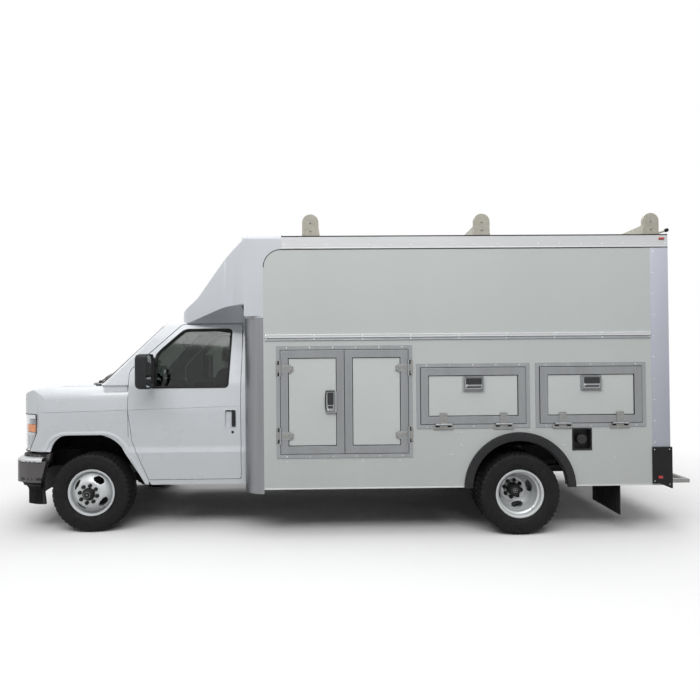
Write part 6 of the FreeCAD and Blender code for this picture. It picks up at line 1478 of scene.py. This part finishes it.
def apply_all(obj):
    """Bakes what the modifiers make into the mesh."""
    view = bpy.context.evaluated_depsgraph_get()
    mesh = bpy.data.meshes.new_from_object(obj.evaluated_get(view))
    obj.modifiers.clear()
    old, obj.data = obj.data, mesh
    bpy.data.meshes.remove(old)


def press_channels(obj, lines, middle):
    """Sewn channels: vertices near each line sink along the pad's own normal."""
    normals = [vert.normal.copy() for vert in obj.data.vertices]
    for vert, normal in zip(obj.data.vertices, normals):
        place = vert.co.y + middle
        sink = sum(math.exp(-((place - line) / CHANNEL_WIDTH) ** 2) for line in lines)
        vert.co -= normal * CHANNEL_DEPTH * min(1.0, sink)


def pad(name, form, side, lines):
    """A padded cushion of a seat, with sewn lines at distances from its middle."""
    to_frame(form.bm, side, SEAT_MIDDLE)
    obj = make_object(name, form.bm)
    inflate(obj)
    press_channels(obj, lines, SEAT_MIDDLE * side / 1000)
    rounder = obj.modifiers.new("rounder", "SUBSURF")
    rounder.levels = rounder.render_levels = 1
    place_piece(obj, "chassis", "fabric")
    return obj


def dress_seats():
    """Two seats with their pads, metal, belts and skirts."""
    for word, side in SIDES:
        for name, (lean, sides, lines, fill, rows) in SEAT_PADS.items():
            cushion = pad(f"{name}_{word}", cushion_form(rows, lean, sides), side, lines)
            if name == "seat_base":
                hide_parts("seats")
        hardware = Form()
        for y in (-SEAT_MIDDLE - 60, -SEAT_MIDDLE + 60):
            hardware.rod((1205, y, 1530), (1218, y, 1625), 6.5, 12)
        for y in (-SEAT_MIDDLE - 190, -SEAT_MIDDLE + 190):
            hardware.box((680, 1100), (y - 16, y + 16), (945, 966), 3)
        finish(f"seat_metal_{word}", hardware, "chassis", "bright_metal", side)
        belt = Form().solid([[(x - 24, y, z), (x + 24, y, z), (x + 24, y + 2.5, z), (x - 24, y + 2.5, z)]
                             for x, y, z in ((1400, -820, 1800), (1360, -818, 1600), (1330, -814, 1400),
                                             (1290, -812, 1200), (1230, -810, 1010))])
        belt.box((1368, 1432), (-826, -806), (1780, 1830), 5)
        belt.box((1205, 1262), (-820, -790), (975, 1030), 5)
        finish(f"belt_{word}", belt, "chassis", "interior", side)
        base_cover = Form().box((700, 1100), (-SEAT_MIDDLE - 205, -SEAT_MIDDLE + 205), (765, 940), 12, 3)
        finish(f"seat_skirt_{word}", base_cover, "chassis", "interior", side)


def dress_dash():
    """The steering wheel and what is on the dash and the roof above it."""
    hub = Vector((550, -SEAT_MIDDLE, 1350))
    axis = Vector((math.sin(math.radians(55)), 0, math.cos(math.radians(55))))
    up = Vector((-axis.z, 0, axis.x))

    def around(turn, radius, squash=1):
        return (up * math.cos(turn) * squash + Vector((0, 1, 0)) * math.sin(turn)) * radius

    wheel = Form().tube([hub + around(turn, 190) for turn in turns(48)], 16.5, 14, closed=True)
    wheel.solid([[hub + axis * height + around(turn, radius, 0.8) for turn in turns(32)]
                 for height, radius in ((-30, 60), (6, 78), (18, 72), (24, 50))])
    for share in (0.5, 1.5, 0.78, 1.22):
        end = hub + around(share * math.pi, 186)
        wheel.tube([hub + axis * 4, hub.lerp(end, 0.6) + axis * 6, end], 13, 10)
    finish("steering_wheel", wheel, "chassis", "gloss_black")
    dash = Form()
    hood_line = [(330, 1345), (352, 1376), (400, 1388), (428, 1372), (424, 1352)]
    dash.solid([[(x, y, z) for x, z in hood_line] for y in (-790, -760, -590, -420, -390)])
    for y in (-860, -330, 330, 700):
        dash.frame((y - 48, y + 48, 1262, 1322), [(0, 418), (0, 424), (3, 426), (6, 424), (8, 419)], 10,
                   on_back)
        for k in range(4):
            dash.box((416, 423), (y - 42, y + 42), (1270 + k * 12, 1273 + k * 12), 0.8)
    dash.frame((-230, 230, 1190, 1345), [(0, 416), (0, 428), (4, 432), (12, 432), (16, 426)], 18, on_back,
               True)
    dash.frame((340, 760, 1195, 1255), [(0, 416), (0, 421), (4, 424), (10, 424)], 12, on_back, True)
    finish("dash_details", dash, "chassis", "interior")
    face = Form()
    for y in (-140, 0, 140):
        face.turned([(0, 24), (14, 22), (16, 19)], (430, y, 1228), "x", 24)
    face.frame((-150, 150, 1262, 1330), [(0, 427), (0, 433), (2, 434.5)], 8, on_back, True)
    finish("dash_controls", face, "chassis", "gloss_black")
    mirror = Form().frame((-125, 125, 1768, 1838), [(2, 655), (0, 648), (-2, 640), (4, 628), (14, 622)], 26,
                          on_back, True)
    mirror.tube([(640, 0, 1838), (648, 0, 1880), (622, 0, 1916)], 8, 10)
    finish("rear_view_mirror", mirror, "chassis", "black_plastic")
    view = Form().frame((-117, 117, 1775, 1831), [(0, 654), (0, 658)], 20, on_back, True)
    finish("rear_view_glass", view, "chassis", "mirror_glass")
    visors = Form()
    for y in (-620, 230):
        visors.box((780, 930), (y, y + 390), (1930, 1944), 6, 3)
    finish("sun_visors", visors, "chassis", "headliner")


def dress_door_inside(word, side):
    """A door's lining, armrest and pull."""
    card = Form()
    card.box((470, 1400), (-936, -928), (560, 1330), 4)
    card.box((620, 1290), (-940, -872), (1060, 1110), 14, 3)
    card.box((560, 1340), (-940, -900), (600, 720), 10, 3)
    finish(f"door_card_{word}", card, f"door_{word}", "interior", side)
    pull = Form().tube([(760, -905, 1130), (770, -872, 1150), (880, -868, 1156), (990, -872, 1150),
                        (1000, -905, 1130)], 10, 10)
    finish(f"door_pull_{word}", pull, f"door_{word}", "black_plastic", side)


def dress_underside(word, side):
    """Coils, shocks, brakes and spring clamps that show past the wheels and from below."""
    low, high, coils = 430, 628, 6
    path = [(46 * math.cos(turn), -490 + 46 * math.sin(turn), z)
            for turn, z in zip(turns(20) * coils + [0], row(low, high, 20 * coils + 1))]
    coil = Form().tube(path, 7.5, 8)
    finish(f"front_coil_{word}", coil, "chassis", "chassis_black", side)
    shock = Form().rod((96, -560, 360), (96, -510, 520), 26, 20)
    shock.rod((96, -520, 500), (96, -500, 620), 12, 12)
    finish(f"front_shock_{word}", shock, "chassis", "chassis_black", side)
    brake = Form().turned([(-8, 150), (-8, 30), (22, 30), (22, 150), (20, 153), (-6, 153)],
                          (0, -808, AXLE_HEIGHT), "y", 48, (False, False))
    finish(f"front_disc_{word}", brake, f"wheel_front_{word}", "cast_iron", side, thickness=2)
    clamps = Form()
    for x in (REAR_AXLE - 60, REAR_AXLE + 60):
        for y in (-560, -500):
            clamps.rod((x, y, 300), (x, y, 470), 8, 10)
            clamps.turned([(0, 15), (14, 15)], (x, y, 300), "z", 6)
    clamps.box((REAR_AXLE - 85, REAR_AXLE + 85), (-575, -485), (312, 324), 2)
    finish(f"spring_clamps_{word}", clamps, "chassis", "galvanised", side)


def dress_inside():
    """All that shows through the glass and from below."""
    dress_seats()
    dress_dash()
    for word, side in SIDES:
        dress_door_inside(word, side)
        dress_underside(word, side)


dress_inside()


# Floor, backdrop and lights, in metres and watts; a lamp is (name, place, aim, size, power)
FLOOR_HALF = 40
FLOOR_STRETCH = (0.62, 1.0, 0.0)
FADE_START = 2.3
FADE_END = 4.6
WORLD_LIGHT = 0.17
LAMPS = (("overhead", (0, -1.0, 8.5), (0, 0, 0), (14, 8), 520),
         ("near_fill", (-1.0, -8.0, 8.8), (0, 0, 1.2), (12, 4), 700),
         ("far_fill", (1.0, 8.0, 8.8), (0, 0, 1.2), (12, 4), 520),
         ("nose_fill", (-10.0, -1.0, 6.5), (-3, 0, 1.2), (5, 3), 50),
         ("tail_fill", (10.0, -1.0, 6.5), (3, 0, 1.2), (5, 3), 50))


def seen_directly(tree):
    """1 for rays from the camera, in mirrors or through glass."""
    rays = tree.nodes.new("ShaderNodeLightPath")
    level = rays.outputs["Is Camera Ray"]
    for other in ("Is Glossy Ray", "Is Transmission Ray"):
        either = tree.nodes.new("ShaderNodeMath")
        either.operation = "MAXIMUM"
        tree.links.new(level, either.inputs[0])
        tree.links.new(rays.outputs[other], either.inputs[1])
        level = either.outputs[0]
    return level


def fade_far(n):
    """The floor turns to the plain white of the backdrop away from the van."""
    flat = n.stretched(FLOOR_STRETCH)
    length = n.add("ShaderNodeVectorMath", operation="LENGTH")
    n.link(flat, length.inputs[0])
    share = n.between(length.outputs["Value"], 0, 1, FADE_START, FADE_END)
    amount = n.add("ShaderNodeMath", operation="MULTIPLY")
    n.link(share, amount.inputs[0])
    n.link(seen_directly(n.tree), amount.inputs[1])
    glow = n.add("ShaderNodeEmission", Strength=1.0)
    blend = n.add("ShaderNodeMixShader")
    n.link(amount.outputs[0], blend.inputs[0])
    n.link(n.shader.outputs[0], blend.inputs[1])
    n.link(glow.outputs[0], blend.inputs[2])
    n.link(blend.outputs[0], n.tree.nodes["Material Output"].inputs["Surface"])


def make_stage():
    """A pale floor and backdrop, and soft lamps round the van."""
    mesh = bpy.data.meshes.new("floor")
    corners = ((-1, -1), (1, -1), (1, 1), (-1, 1))
    mesh.from_pydata([(x * FLOOR_HALF, y * FLOOR_HALF, 0) for x, y in corners], [], [(0, 1, 2, 3)])
    ground = bpy.data.objects.new("ground", mesh)
    bpy.context.scene.collection.objects.link(ground)
    n = Nodes("ground")
    pale = n.tone((0.94, 0.94, 0.94), 0.01, 0.5)
    n.link(n.mix(seen_directly(n.tree), (0.35, 0.35, 0.35), pale), n.shader.inputs["Base Color"])
    n.set(Roughness=0.8, Specular_IOR_Level=0.1)
    fade_far(n)
    mesh.materials.append(n.material)

    world = bpy.data.worlds.new("studio")
    bpy.context.scene.world = world
    world.use_nodes = True
    tree = world.node_tree
    back = tree.nodes["Background"]
    back.inputs[0].default_value = (1, 1, 1, 1)
    level = tree.nodes.new("ShaderNodeMapRange")
    level.inputs["To Min"].default_value = WORLD_LIGHT
    level.inputs["To Max"].default_value = 1.0
    tree.links.new(seen_directly(tree), level.inputs["Value"])
    tree.links.new(level.outputs[0], back.inputs[1])

    for name, place, aim, size, power in LAMPS:
        data = bpy.data.lights.new(name, "AREA")
        data.shape = "RECTANGLE"
        data.size, data.size_y = size
        data.energy = power
        lamp = bpy.data.objects.new(name, data)
        lamp.location = place
        way = Vector(aim) - Vector(place)
        lamp.rotation_euler = way.to_track_quat("-Z", "Y").to_euler()
        bpy.context.scene.collection.objects.link(lamp)


make_stage()
bpy.context.scene.view_settings.view_transform = "Standard"
